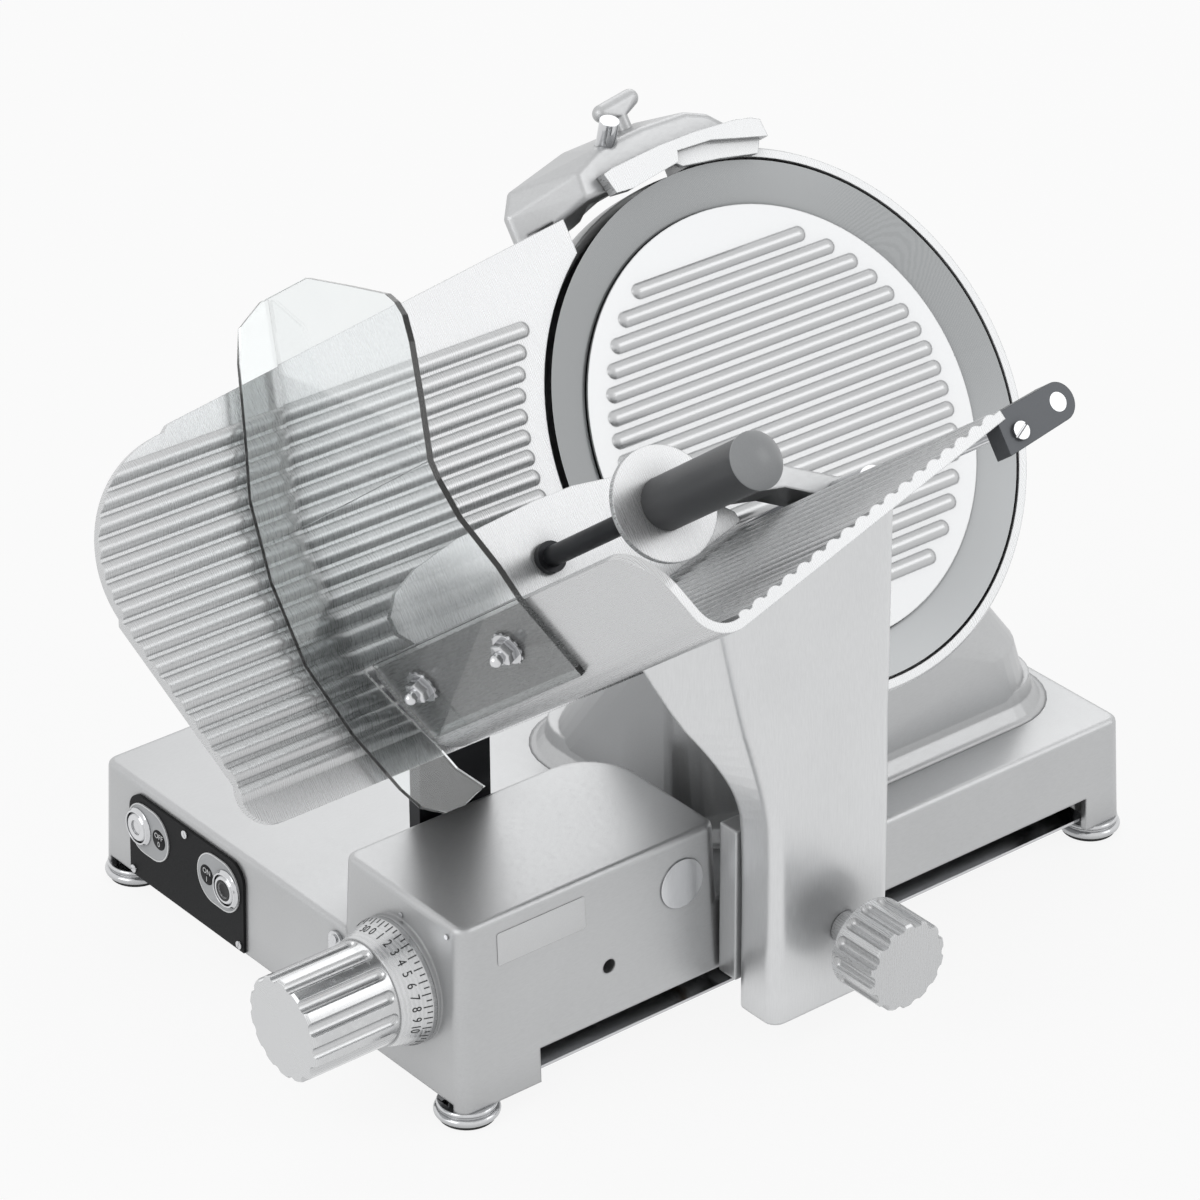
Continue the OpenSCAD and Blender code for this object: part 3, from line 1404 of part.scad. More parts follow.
skirt_n0 = sharp_front + 0.2;
skirt_t = 9;
skirt_at = [[-68, 188], [-60, 190], [-20, 194], [10, 195], [42, 194], [55, 192], [62, 189], [63, 177], [40, 182],
    [20, 186.5], [-8, 187], [-10, 180], [-50, 173.5], [-64, 174]];
lip_t = 4;
lip_at = [[-9.5, 188], [20, 188], [42, 183.5], [60, 178.5], [54, 169], [24, 174], [-5, 177], [-9.5, 180.5]];
module sharpener_skirt() {
    color("gainsboro") sharpener_frame() translate([0, 0, skirt_n0]) {
        linear_extrude(skirt_t) polygon(skirt_at);
        linear_extrude(lip_t) polygon(lip_at);
    }
}

push_r = 6.5;
rod_depth = 16;
rod_out = 20;
push_travel = 6;
top_lean = 50;
module rod_place() {
    sharpener_frame() translate([-47.5, 206, -5]) rotate([-90 + top_lean, 0, 0]) children();
}

module push_rod() {
    color("gainsboro") rod_place() translate([0, 0, -rod_depth + close_gap]) cylinder(r = push_r, h = rod_depth + rod_out);
}

knob_stem_r = 5;
knob_depth = 18;
knob_up = 17;
wing_half = 12.5;
wing_t = 12;
wing_rise = 4;
clamp_at = [-16, 212, -22];
module knob_place() {
    sharpener_frame() translate(clamp_at) rotate([-90, 0, 0]) children();
}

module sharpener_knob() {
    color("gainsboro") knob_place() {
        translate([0, 0, -knob_depth + close_gap]) cylinder(r = knob_stem_r, h = knob_depth + knob_up);
        hull() {
            translate([0, 0, knob_up - wing_t / 2]) cylinder(r = knob_stem_r, h = slice, $fn = soft);
            for (x = [-1, 1]) translate([x * wing_half, 0, knob_up + (1 + x) * wing_rise / 2])
                sphere(r = wing_t / 2, $fn = 24);
        }
    }
}

stone_r = 9;
stone_t = 6;
stone_y = -64;
stone_m = 189;
stone_room = 12;
stone_back = 30;
stone_high = 16;
spindle_r = 3;
stone_at = [-26, -14];
module grinding_wheels() {
    color("#d9d4cc") sharpener_frame() translate([stone_y, stone_m, 0]) {
        for (z = stone_at) translate([0, 0, z]) cylinder(r = stone_r, h = stone_t);
        translate([0, 0, -stone_back]) cylinder(r = spindle_r, h = stone_back - sharp_round);
    }
}

base_housing();
bottom_cover();
feet();
foot_pads();
switch_panel();
button_bezels();
panel_screws();
box_plug();
index_marks();
control_board();
cable_gland();
guide_rod();
rod_blocks();
guide_bar();
gauge_rail();
blade_housing();
motor_housing();
motor();
blade_axle();
axle_bearings();
ring_guard();
tie_rod();
cover_plate();
tie_rod_knob();
blade();
blade_pulley();
blade_screws();
motor_shaft();
drive_belt();
start_button();
stop_button();
dial_knob();
dial_shaft();
scroll_cam();
gauge_plate();
gauge_post();
gauge_follower();
carriage_foot();
slide_bushes();
carriage_arm();
lock_knob();
trough();
hand_guard();
guard_studs();
end_bracket();
pusher_rod();
slider_collar();
pusher_arm();
pusher_plate();
pusher_stem();
guard_disc();
grip();
sharpener_body();
sharpener_skirt();
sharpener_knob();
push_rod();
grinding_wheels();
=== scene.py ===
"""Looks of an electric food slicer: finishes, dial scale, panel markings, screws and studio."""

import json
import math

import bmesh
import bpy
from mathutils import Matrix, Vector

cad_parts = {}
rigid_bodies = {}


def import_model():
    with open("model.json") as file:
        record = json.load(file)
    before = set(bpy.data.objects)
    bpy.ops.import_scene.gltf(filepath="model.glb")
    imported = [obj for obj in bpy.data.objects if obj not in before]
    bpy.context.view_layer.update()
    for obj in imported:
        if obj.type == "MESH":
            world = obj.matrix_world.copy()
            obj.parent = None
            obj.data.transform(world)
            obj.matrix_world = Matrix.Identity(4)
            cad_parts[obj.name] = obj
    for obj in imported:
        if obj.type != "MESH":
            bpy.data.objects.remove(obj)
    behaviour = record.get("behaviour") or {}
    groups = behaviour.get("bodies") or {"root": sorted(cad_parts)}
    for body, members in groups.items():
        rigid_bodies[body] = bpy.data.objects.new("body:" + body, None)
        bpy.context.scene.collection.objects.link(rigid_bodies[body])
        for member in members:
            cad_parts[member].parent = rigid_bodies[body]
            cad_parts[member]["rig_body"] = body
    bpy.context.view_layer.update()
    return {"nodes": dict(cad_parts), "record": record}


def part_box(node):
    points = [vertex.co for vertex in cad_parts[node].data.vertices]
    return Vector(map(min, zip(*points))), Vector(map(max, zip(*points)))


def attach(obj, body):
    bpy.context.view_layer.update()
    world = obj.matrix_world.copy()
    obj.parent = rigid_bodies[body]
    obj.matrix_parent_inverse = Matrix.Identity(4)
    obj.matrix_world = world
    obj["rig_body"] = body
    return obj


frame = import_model()

bl_info = {
    "name": "Food slicer looks",
    "version": (1, 0, 0),
    "blender": (4, 5, 0),
    "location": "3D View > Sidebar > Slicer",
    "description": "Finishes and small pieces for the food slicer's frame",
    "category": "Object",
}

MM = 0.001


def linear(code):
    """Turns an sRGB hex value into a linear colour."""
    values = [int(code[i:i + 2], 16) / 255 for i in (1, 3, 5)]
    return tuple(v / 12.92 if v <= 0.04045 else ((v + 0.055) / 1.055) ** 2.4 for v in values) + (1.0,)


# Places on the slicer, in millimetres, most of them off the base's faces as in the part's source. The
# faces come from the frame's bottom cover, which stands that far inside the walls and over their foot

COVER_LOW, COVER_HIGH = ([round(value / MM, 3) for value in corner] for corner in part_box("bottom_cover"))
COVER_IN, COVER_UP = 6.0, 5.0
LEFT_X, RIGHT_X = COVER_LOW[0] - COVER_IN, COVER_HIGH[0] + COVER_IN
FRONT_Y, FOOT_H = COVER_LOW[1] - COVER_IN, COVER_LOW[2] - COVER_UP
WALL_LEAN = math.radians(2)

# Switch panel: its middle, its lower edge's height up the wall, and its size
PANEL_X, PANEL_FOOT = LEFT_X + 101.0, 6.0
PANEL_W, PANEL_H, PANEL_T = 130.0, 64.0, 2.0

# Grey fields on the panel, and the buttons in them. A field reaches inwards past its button
BEZEL_T = 0.8
BEZEL_OUT = 10.0
BUTTON_XS = (LEFT_X + 48.8, LEFT_X + 148.8)
BUTTON_H, BUTTON_R, BUTTON_TOP = 47.0, 10.5, 4.0

# Dial: its middle, and the cone of its ring from the wall outwards
DIAL_X, DIAL_Z = RIGHT_X - 64.0, FOOT_H + 71.0
DIAL_CONE_Y = FRONT_Y - 3.8
DIAL_CONE_R0, DIAL_CONE_R1, DIAL_CONE_L = 42.5, 36.0, 20.2

# Blade: the middle of its face, and the ways out of the face and up its slope
TILT = math.radians(37.1)
BLADE_AT = Vector((RIGHT_X - 96.3, FRONT_Y + 346.4, 347.7))
BLADE_OUT = Vector((math.cos(TILT), 0, math.sin(TILT)))
BLADE_UP = Vector((-math.sin(TILT), 0, math.cos(TILT)))

# Carriage, in the blade's frame: the trough's corner, its fence with the guard's studs, the pusher's
# stem and grip, and the screw of the end bracket
TROUGH_AT = (-337.5, -117.0, 10.0)
FENCE_RISE = math.radians(69)
STUDS = ((51.5, 42.6), (51.5, 147.6))
GUARD_T = 4.0
STEM_AT = (-245.7, -27.0)
GRIP_END, GRIP_R = 297.5, 16.5
BRACKET_SCREW = (-85.2, -67.6, 325.0)


def axes(origin, x, y):
    """A matrix for a frame with its origin in millimetres and its x and y axes."""
    x, y = Vector(x).normalized(), Vector(y).normalized()
    turn = Matrix((x, y, x.cross(y))).transposed().to_4x4()
    return Matrix.Translation(Vector(origin) * MM) @ turn @ Matrix.Scale(MM, 4)


def front_wall(x, h, out):
    """On the base's front wall: x right, y up the wall, z out of it."""
    up = Vector((0, math.sin(WALL_LEAN), math.cos(WALL_LEAN)))
    away = Vector((1, 0, 0)).cross(up)
    at = Vector((x, FRONT_Y + h * math.tan(WALL_LEAN), FOOT_H + h)) + away * out
    return axes(at, (1, 0, 0), up)


def right_wall(y, h):
    """On the dial box's right wall: x to the rear, y up the wall, z out of it."""
    up = Vector((-math.sin(WALL_LEAN), 0, math.cos(WALL_LEAN)))
    return axes((RIGHT_X - h * math.tan(WALL_LEAN), y, FOOT_H + h), (0, 1, 0), up)


def blade_frame(y, m, n):
    """In the blade's frame: x to the rear, y up the slope, z out of the blade's face."""
    at = BLADE_AT + Vector((0, y, 0)) + BLADE_UP * m + BLADE_OUT * n
    return axes(at, (0, 1, 0), BLADE_UP)


def stud_frame(stud):
    """On the clear guard at a stud: z runs out of the fence's outer face."""
    turn = Matrix.Rotation(math.pi - FENCE_RISE, 4, "Z")
    place = Matrix.Translation((stud[0], 0, stud[1]))
    return blade_frame(*TROUGH_AT) @ turn @ place @ Matrix.Rotation(-math.pi / 2, 4, "X")


# What a user would change


class SlicerColours(bpy.types.PropertyGroup):
    """Colours of the slicer's finishes."""

    cast: bpy.props.FloatVectorProperty(
        name="Cast aluminium", description="Base, neck and sharpener",
        subtype="COLOR", size=4, min=0, max=1, default=linear("#C2C3C4"))
    # Painted light: the arm is the same casting as the base, given a lighter copy of its colour
    arm: bpy.props.FloatVectorProperty(
        name="Cast arm", description="Arm of the carriage and its foot",
        subtype="COLOR", size=4, min=0, max=1, default=linear("#DDDEDF"))
    plate: bpy.props.FloatVectorProperty(
        name="Anodised plate", description="Gauge plate, trough and cover plate",
        subtype="COLOR", size=4, min=0, max=1, default=linear("#D0D1D2"))
    blade: bpy.props.FloatVectorProperty(
        name="Blade steel", description="Ground ring of the blade",
        subtype="COLOR", size=4, min=0, max=1, default=linear("#9D9FA0"))
    polished: bpy.props.FloatVectorProperty(
        name="Polished metal", description="Knobs, feet, buttons and rods",
        subtype="COLOR", size=4, min=0, max=1, default=linear("#D6D7D9"))
    foil: bpy.props.FloatVectorProperty(
        name="Panel foil", description="Matt black foil of the switch panel",
        subtype="COLOR", size=4, min=0, max=1, default=linear("#141517"))
    oval: bpy.props.FloatVectorProperty(
        name="Button field", description="Grey fields round the buttons",
        subtype="COLOR", size=4, min=0, max=1, default=linear("#B4B6B8"))
    grip: bpy.props.FloatVectorProperty(
        name="Grip", description="Moulded grip of the pusher",
        subtype="COLOR", size=4, min=0, max=1, default=linear("#454648"))
    ink: bpy.props.FloatVectorProperty(
        name="Ink", description="Printed ticks and numbers",
        subtype="COLOR", size=4, min=0, max=1, default=linear("#17181A"))


class SlicerSizes(bpy.types.PropertyGroup):
    """Sizes of the small pieces."""

    units: bpy.props.IntProperty(
        name="Dial units", description="Units round the dial's full circle", default=31, min=8, max=60)
    tick_long: bpy.props.FloatProperty(
        name="Long tick", description="Length of a whole unit's tick", default=6.0 * MM, unit="LENGTH")
    tick_short: bpy.props.FloatProperty(
        name="Short tick", description="Length of a half unit's tick", default=3.6 * MM, unit="LENGTH")
    tick_width: bpy.props.FloatProperty(
        name="Tick width", description="Width of a tick", default=0.75 * MM, unit="LENGTH")
    numeral: bpy.props.FloatProperty(
        name="Numeral height", description="Height of the dial's numbers", default=6.4 * MM, unit="LENGTH")
    zero: bpy.props.FloatProperty(
        name="Zero mark", description="Where 0 stands, clockwise from the top",
        default=math.radians(-8), subtype="ANGLE", unit="ROTATION")
    ring_r: bpy.props.FloatProperty(
        name="Button ring", description="Outer radius of the ring round a button",
        default=13.4 * MM, unit="LENGTH")
    plate_w: bpy.props.FloatProperty(
        name="Plate width", description="Width of the bare plate on the dial box",
        default=69.0 * MM, unit="LENGTH")
    plate_h: bpy.props.FloatProperty(
        name="Plate height", description="Height of the bare plate on the dial box",
        default=23.0 * MM, unit="LENGTH")


class SlicerStage(bpy.types.PropertyGroup):
    """Light of the studio."""

    key: bpy.props.FloatProperty(
        name="Key lamp", description="Power of the lamp behind on the right, which the plates mirror",
        default=9.0, min=0, unit="POWER")
    rear: bpy.props.FloatProperty(
        name="Rear lamp", description="Power of the lamp behind on the left, which the deck mirrors",
        default=8.0, min=0, unit="POWER")
    front: bpy.props.FloatProperty(
        name="Front lamp", description="Power of the lamp over the operator's side",
        default=16.0, min=0, unit="POWER")
    room: bpy.props.FloatProperty(
        name="Room light", description="Strength of the light from all round",
        default=0.55, min=0, max=1, subtype="FACTOR")


# Materials

BLADE_TURN = (0.0, math.pi / 2 - TILT, math.pi / 2)
DIAL_TURN = (math.pi / 2, 0, 0)
BLACK = linear("#1B1C1E")

# Blender's ring wave repeats every 0.314 units at a scale of 1
RING_WAVE = 0.314

# Patches over which a colour drifts, in millimetres, and their share beside the grain's
PATCH = 70.0
PATCH_SHARE = 0.5

# Painted shade: how far in millimetres neighbours darken a finish's colour, and how much in a deep hollow
PAINTED_SHADE_SOFT = (40.0, 0.45)
# Plates take a shorter, deeper painted shade, which darkens the grooves between their ribs
PAINTED_SHADE_PLATE = (16.0, 0.6)


def add_node(tree, kind, settings=None, values=None, links=None):
    """Adds a node with its settings and socket values, and links other nodes' outputs to its inputs."""
    node = tree.nodes.new(kind)
    for key, value in (settings or {}).items():
        setattr(node, key, value)
    for key, value in (values or {}).items():
        node.inputs[key].default_value = value
    for key, (other, out) in (links or {}).items():
        tree.links.new(other.outputs[out], node.inputs[key])
    return node


def new_material(name):
    """An empty node material by that name."""
    material = bpy.data.materials.new(name)
    material.use_nodes = True
    material.node_tree.nodes.clear()
    return material


def lathe_rings(tree, place, pitch, at, turn):
    """The fine rings of a turned face round its own axis, pitch apart in millimetres."""
    local = add_node(tree, "ShaderNodeMapping", {"vector_type": "TEXTURE"},
                     {"Location": at, "Rotation": turn}, {"Vector": (place, "Object")})
    return add_node(tree, "ShaderNodeTexWave", {"wave_type": "RINGS", "rings_direction": "Z"},
                    {"Scale": RING_WAVE / (pitch * MM), "Distortion": 2.5, "Detail": 2.0,
                     "Detail Scale": 0.6}, {"Vector": (local, "Vector")})


def brushed_grain(tree, place, grain):
    """Noise in cells of that size along the three axes, in millimetres."""
    local = add_node(tree, "ShaderNodeMapping", {"vector_type": "TEXTURE"},
                     {"Scale": [g * MM for g in grain]}, {"Vector": (place, "Object")})
    return add_node(tree, "ShaderNodeTexNoise", {}, {"Scale": 1.0, "Detail": 3.0, "Roughness": 0.6},
                    {"Vector": (local, "Vector")})


def surface(name, colour, metallic, roughness, bump, tint, rounding, grain=None, rings=None,
            shade=PAINTED_SHADE_SOFT, **shader):
    """A finish with a grain in cells, or with rings as (pitch, place, turn).

    roughness is its lowest and highest value, bump the grain's depth in millimetres, tint how far the
    colour drifts, rounding the worn radius of edges, and shade the painted shade from neighbours.
    """
    material = new_material(name)
    tree = material.node_tree
    place = add_node(tree, "ShaderNodeTexCoord")
    cells = lathe_rings(tree, place, *rings) if rings else brushed_grain(tree, place, grain)
    patches = add_node(tree, "ShaderNodeTexNoise", {}, {"Scale": 1 / (PATCH * MM), "Detail": 2.0},
                       {"Vector": (place, "Object")})
    drift = add_node(tree, "ShaderNodeMath", {"operation": "MULTIPLY_ADD"}, {1: PATCH_SHARE},
                     {0: (patches, "Fac"), 2: (cells, "Fac")})
    ramp = add_node(tree, "ShaderNodeValToRGB", {}, {}, {"Fac": (drift, "Value")})
    dark, light = ramp.color_ramp.elements
    dark.position, light.position = 0.45, 1.0
    dark.color = [c * (1 - tint) for c in colour[:3]] + [1.0]
    light.color = [min(1.0, c * (1 + tint)) for c in colour[:3]] + [1.0]
    # Painted shade: occlusion by neighbours darkens the colour in creases, hollows and between parts
    reach, depth = shade
    hollow = add_node(tree, "ShaderNodeAmbientOcclusion", {"samples": 4}, {"Distance": reach * MM})
    painted_shade_factor = add_node(tree, "ShaderNodeMapRange", {}, {
        "From Min": 0.35, "From Max": 0.95, "To Min": 1 - depth, "To Max": 1.0}, {"Value": (hollow, "AO")})
    painted_shade_colour = add_node(tree, "ShaderNodeVectorMath", {"operation": "SCALE"}, {}, {
        "Vector": (ramp, "Color"), "Scale": (painted_shade_factor, "Result")})
    gloss = add_node(tree, "ShaderNodeMapRange", {}, {
        "From Min": 0.3, "From Max": 0.7, "To Min": roughness[0], "To Max": roughness[1]},
        {"Value": (cells, "Fac")})
    edge = add_node(tree, "ShaderNodeBevel", {"samples": 4}, {"Radius": rounding * MM})
    relief = add_node(tree, "ShaderNodeBump", {}, {"Strength": 1.0, "Distance": bump * MM},
                      {"Height": (cells, "Fac"), "Normal": (edge, "Normal")})
    body = add_node(tree, "ShaderNodeBsdfPrincipled", {}, {"Metallic": metallic, **shader}, {
        "Base Color": (painted_shade_colour, "Vector"), "Roughness": (gloss, "Result"), "Normal": (relief, "Normal")})
    out = add_node(tree, "ShaderNodeOutputMaterial", {}, {}, {"Surface": (body, "BSDF")})
    if "Transmission Weight" in shader:
        # Clear sheet lets the lamps' light through, so it throws next to no shadow
        rays = add_node(tree, "ShaderNodeLightPath")
        through = add_node(tree, "ShaderNodeBsdfTransparent", {}, {"Color": linear("#F4F6F6")})
        mix = add_node(tree, "ShaderNodeMixShader", {}, {}, {
            0: (rays, "Is Shadow Ray"), 1: (body, "BSDF"), 2: (through, "BSDF")})
        tree.links.new(mix.outputs["Shader"], out.inputs["Surface"])
    return material


def metal_finishes(colours):
    """The finishes of bare and anodised metal, by name."""
    blade_at = [c * MM for c in BLADE_AT]
    dial_at = (DIAL_X * MM, FRONT_Y * MM, DIAL_Z * MM)
    return {
        # Cast aluminium, blasted and then brushed: a soft satin with a short fine grain
        "cast": surface("cast aluminium, satin", colours.cast, metallic=0.8, roughness=(0.30, 0.42),
                        bump=0.012, tint=0.05, rounding=2.2, grain=(1.2, 5.0, 1.2), shade=(40.0, 0.35)),
        # The same casting on the arm, brushed up and down, so highlights spread sideways
        # Its colour is that lighter copy of the cast colour: painted light on the arm
        "arm": surface("cast aluminium, brushed upright", colours.arm, metallic=0.8, roughness=(0.28, 0.40),
                       bump=0.012, tint=0.05, rounding=2.5, grain=(1.0, 1.0, 12.0), shade=(40.0, 0.30)),
        # Anodised aluminium plate, near white and silky, with a shallow grain across its ribs
        "plate": surface("anodised aluminium plate", colours.plate, metallic=0.6, roughness=(0.24, 0.32),
                         bump=0.0006, tint=0.03, rounding=0.8, grain=(9.0, 0.5, 9.0), shade=PAINTED_SHADE_PLATE),
        # The cover plate is turned, so its grain runs in faint rings, drawn coarser than real ones
        "cover": surface("anodised aluminium, turned", colours.plate, metallic=0.6, roughness=(0.25, 0.27),
                         bump=0.0, tint=0.004, rounding=0.8, rings=(1.6, blade_at, BLADE_TURN),
                         shade=PAINTED_SHADE_PLATE),
        # Hard chromed blade steel, ground in rings drawn coarser than real ones: a grey satin
        "blade": surface("blade steel, ground", colours.blade, metallic=1.0, roughness=(0.22, 0.25),
                         bump=0.0005, tint=0.02, rounding=0.3, rings=(1.1, blade_at, BLADE_TURN)),
        # Bright machined steel
        "steel": surface("machined steel", colours.polished, metallic=1.0, roughness=(0.14, 0.24), bump=0.006,
                         tint=0.06, rounding=0.4, grain=(0.8, 0.8, 6.0)),
        # Polished and chromed metal, nearly a mirror
        "chrome": surface("polished chrome", colours.polished, metallic=1.0, roughness=(0.05, 0.12),
                          bump=0.003, tint=0.03, rounding=0.8, grain=(2.5, 2.5, 2.5)),
        # Turned aluminium of the dial, satin on its ring
        "dial": surface("turned aluminium", colours.plate, metallic=1.0, roughness=(0.20, 0.32), bump=0.008,
                        tint=0.05, rounding=0.7, rings=(0.9, dial_at, DIAL_TURN)),
        # Anodised black aluminium, as on the gauge's post and the pusher's stem
        # On the gauge's post this black stands in for shade and dark reflection: painted shade
        "dark": surface("black anodised aluminium", linear("#2C2D30"), metallic=0.6, roughness=(0.30, 0.42),
                        bump=0.01, tint=0.10, rounding=0.6, grain=(0.8, 0.8, 5.0)),
        # Dark bead-blasted aluminium of the end bracket
        "bracket": surface("blasted aluminium, dark", linear("#5B5D60"), metallic=0.9, roughness=(0.34, 0.46),
                           bump=0.03, tint=0.10, rounding=0.8, grain=(0.9, 0.9, 0.9)),
        # Porous bronze of the slide bushes, dull and brown
        "bronze": surface("sintered bronze", linear("#A07A4E"), metallic=1.0, roughness=(0.38, 0.52),
                          bump=0.03, tint=0.12, rounding=0.4, grain=(0.8, 0.8, 0.8)),
    }


def printed_finishes(colours):
    """The finishes of the printed foil, and of ink, by name."""
    return {
        # Matt polyester foil with a fine pebble
        "panel": surface("printed foil, matt black", colours.foil, metallic=0.0, roughness=(0.50, 0.62),
                         bump=0.015, tint=0.10, rounding=0.4, grain=(0.9, 0.9, 0.9),
                         **{"Specular IOR Level": 0.2}),
        # The same foil in its two lighter colours, a little smoother
        "bezel": surface("printed foil, grey", colours.oval, metallic=0.0, roughness=(0.40, 0.50), bump=0.012,
                         tint=0.04, rounding=0.3, grain=(0.9, 0.9, 0.9)),
        "pale": surface("printed foil, pale", linear("#E9EAEB"), metallic=0.0, roughness=(0.40, 0.50),
                        bump=0.01, tint=0.03, rounding=0.2, grain=(0.9, 0.9, 0.9)),
        # Black ink, printed or filled into engraving
        "ink": surface("black ink", colours.ink, metallic=0.0, roughness=(0.45, 0.60), bump=0.01, tint=0.10,
                       rounding=0.1, grain=(0.8, 0.8, 0.8)),
    }


def moulded_finishes(colours):
    """The finishes of plastic, rubber, paint and bonded grit, by name."""
    return {
        # Glass-filled nylon of the grip: moulded, with a slight pebble
        "grip": surface("moulded nylon, grey", colours.grip, metallic=0.0, roughness=(0.36, 0.48), bump=0.03,
                        tint=0.08, rounding=0.8, grain=(0.9, 0.9, 0.9),
                        **{"Coat Weight": 0.15, "Coat Roughness": 0.25}),
        # The grip's cap is paler and glossier
        "cap": surface("moulded nylon, pale", linear("#96989A"), metallic=0.0, roughness=(0.30, 0.40),
                       bump=0.02, tint=0.05, rounding=0.6, grain=(0.9, 0.9, 0.9),
                       **{"Coat Weight": 0.3, "Coat Roughness": 0.2}),
        # Clear polycarbonate sheet with faint handling marks
        "clear": surface("clear polycarbonate", linear("#F5F8F8"), metallic=0.0, roughness=(0.01, 0.05),
                         bump=0.0, tint=0.01, rounding=0.5, grain=(30.0, 30.0, 30.0), shade=(5.0, 0.0),
                         **{"Transmission Weight": 1.0, "IOR": 1.585}),
        # Soft rubber of the foot pads and the belt, dull and black
        "rubber": surface("nitrile rubber", BLACK, metallic=0.0, roughness=(0.60, 0.75), bump=0.05, tint=0.12,
                          rounding=0.5, grain=(1.0, 1.0, 1.0)),
        # Stove paint on the motor's case
        "motor": surface("painted steel, grey", linear("#6F7479"), metallic=0.0, roughness=(0.38, 0.50),
                         bump=0.03, tint=0.08, rounding=0.6, grain=(1.5, 1.5, 1.5), **{"Coat Weight": 0.2}),
        # Moulded case of the control board
        "board": surface("glass-filled polyester, black", BLACK, metallic=0.0, roughness=(0.50, 0.62),
                         bump=0.03, tint=0.10, rounding=0.5, grain=(1.0, 1.0, 1.0)),
        # Open grit of the grinding wheels
        "stone": surface("bonded grit", linear("#8E7F74"), metallic=0.0, roughness=(0.80, 0.92), bump=0.12,
                         tint=0.22, rounding=0.2, grain=(0.7, 0.7, 0.7)),
    }


# Nodes whose finish differs from the rest of their slot
NODE_FINISH = {
    "cover_plate": "cover", "dial_knob": "dial", "carriage_arm": "arm", "carriage_foot": "arm",
    "end_bracket": "bracket",
}

MATERIALS = {}


# Shapes

# Edges sharper than this stay sharp under smooth shading
SHARP = math.radians(35)

# Points closer than this are merged, in millimetres
MERGE = 1e-5

# Height of a capital as a share of the font's size
CAPITAL = 0.72


def finish_piece(name, bm, place, finish, body):
    """Puts a shape in place as a closed mesh with its material, and makes it ride on its body."""
    bmesh.ops.remove_doubles(bm, verts=bm.verts, dist=MERGE)
    bmesh.ops.recalc_face_normals(bm, faces=bm.faces)
    bm.transform(place)
    mesh = bpy.data.meshes.new(name)
    bm.to_mesh(mesh)
    bm.free()
    mesh.shade_smooth()
    mesh.set_sharp_from_angle(angle=SHARP)
    mesh.materials.append(MATERIALS[finish])
    obj = bpy.data.objects.new(name, mesh)
    bpy.context.scene.collection.objects.link(obj)
    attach(obj, body)


def lathe(bm, profile, steps):
    """Spins a profile of (radius, height) round z. Points on the axis close it."""
    rings = []
    for r, z in profile:
        if r == 0:
            rings.append([bm.verts.new((0, 0, z))])
        else:
            rings.append([bm.verts.new((r * math.cos(a), r * math.sin(a), z))
                          for a in (2 * math.pi * i / steps for i in range(steps))])
    for low, high in zip(rings, rings[1:] + rings[:1]):
        for i in range(steps):
            j = (i + 1) % steps
            corners = [low[i % len(low)], low[j % len(low)], high[j % len(high)], high[i % len(high)]]
            unique = []
            for corner in corners:
                if corner not in unique:
                    unique.append(corner)
            if len(unique) > 2:
                bm.faces.new(unique)


def prism(bm, outline, z0, z1, bevel=0.0):
    """A straight prism on an outline, with its upper edges bevelled."""
    low = [bm.verts.new((x, y, z0)) for x, y in outline]
    high = [bm.verts.new((x, y, z1)) for x, y in outline]
    bm.faces.new(low[::-1])
    top = bm.faces.new(high)
    for i in range(len(outline)):
        j = (i + 1) % len(outline)
        bm.faces.new((low[i], low[j], high[j], high[i]))
    if bevel:
        bmesh.ops.bevel(bm, geom=list(top.edges), offset=bevel, segments=2, affect="EDGES", profile=0.5)


def stadium(w, h, steps=24):
    """The outline of a bar with round ends, w wide and h high."""
    r = h / 2
    half = w / 2 - r
    points = []
    for side in (1, -1):
        for i in range(steps + 1):
            a = -math.pi / 2 + math.pi * i / steps
            points.append((side * (half + r * math.cos(a)), side * r * math.sin(a)))
    return points


def rounded_box(w, h, r, steps=6):
    """The outline of a box with round corners, w wide and h high."""
    points = []
    for sx, sy, start in ((1, 1, 0), (-1, 1, 90), (-1, -1, 180), (1, -1, 270)):
        for i in range(steps + 1):
            a = math.radians(start + 90 * i / steps)
            points.append((sx * (w / 2 - r) + r * math.cos(a), sy * (h / 2 - r) + r * math.sin(a)))
    return points


def hexagon(across):
    """The outline of a hexagon with that width across its flats."""
    r = across / math.sqrt(3)
    return [(r * math.cos(math.pi / 3 * i), r * math.sin(math.pi / 3 * i)) for i in range(6)]


def band(bm, outer, inner, z0, z1):
    """A flat band between two outlines with as many points each."""
    loops = [[bm.verts.new((x, y, z)) for x, y in line] for line, z in
             ((outer, z0), (outer, z1), (inner, z1), (inner, z0))]
    for a, b in zip(loops, loops[1:] + loops[:1]):
        for i in range(len(a)):
            j = (i + 1) % len(a)
            bm.faces.new((a[i], a[j], b[j], b[i]))


def letters(words, height, thickness):
    """Letters as a mesh in millimetres, centred along x and thick along z."""
    curve = bpy.data.curves.new("letters", "FONT")
    curve.body = words
    curve.size = height / CAPITAL
    curve.extrude = thickness / 2
    curve.align_x = "CENTER"
    curve.resolution_u = 3
    obj = bpy.data.objects.new("letters", curve)
    bpy.context.scene.collection.objects.link(obj)
    mesh = bpy.data.meshes.new_from_object(obj.evaluated_get(bpy.context.evaluated_depsgraph_get()))
    bpy.data.objects.remove(obj)
    bpy.data.curves.remove(curve)
    return mesh


# Geometry Nodes


def new_tree(name, inputs):
    """A tree that takes a geometry and the inputs by name and kind, and the node that gives them."""
    tree = bpy.data.node_groups.new(name, "GeometryNodeTree")
    tree.interface.new_socket("Geometry", in_out="INPUT", socket_type="NodeSocketGeometry")
    for key, kind in inputs.items():
        tree.interface.new_socket(key, in_out="INPUT", socket_type="NodeSocket" + kind)
    tree.interface.new_socket("Geometry", in_out="OUTPUT", socket_type="NodeSocketGeometry")
    return tree, add_node(tree, "NodeGroupInput")


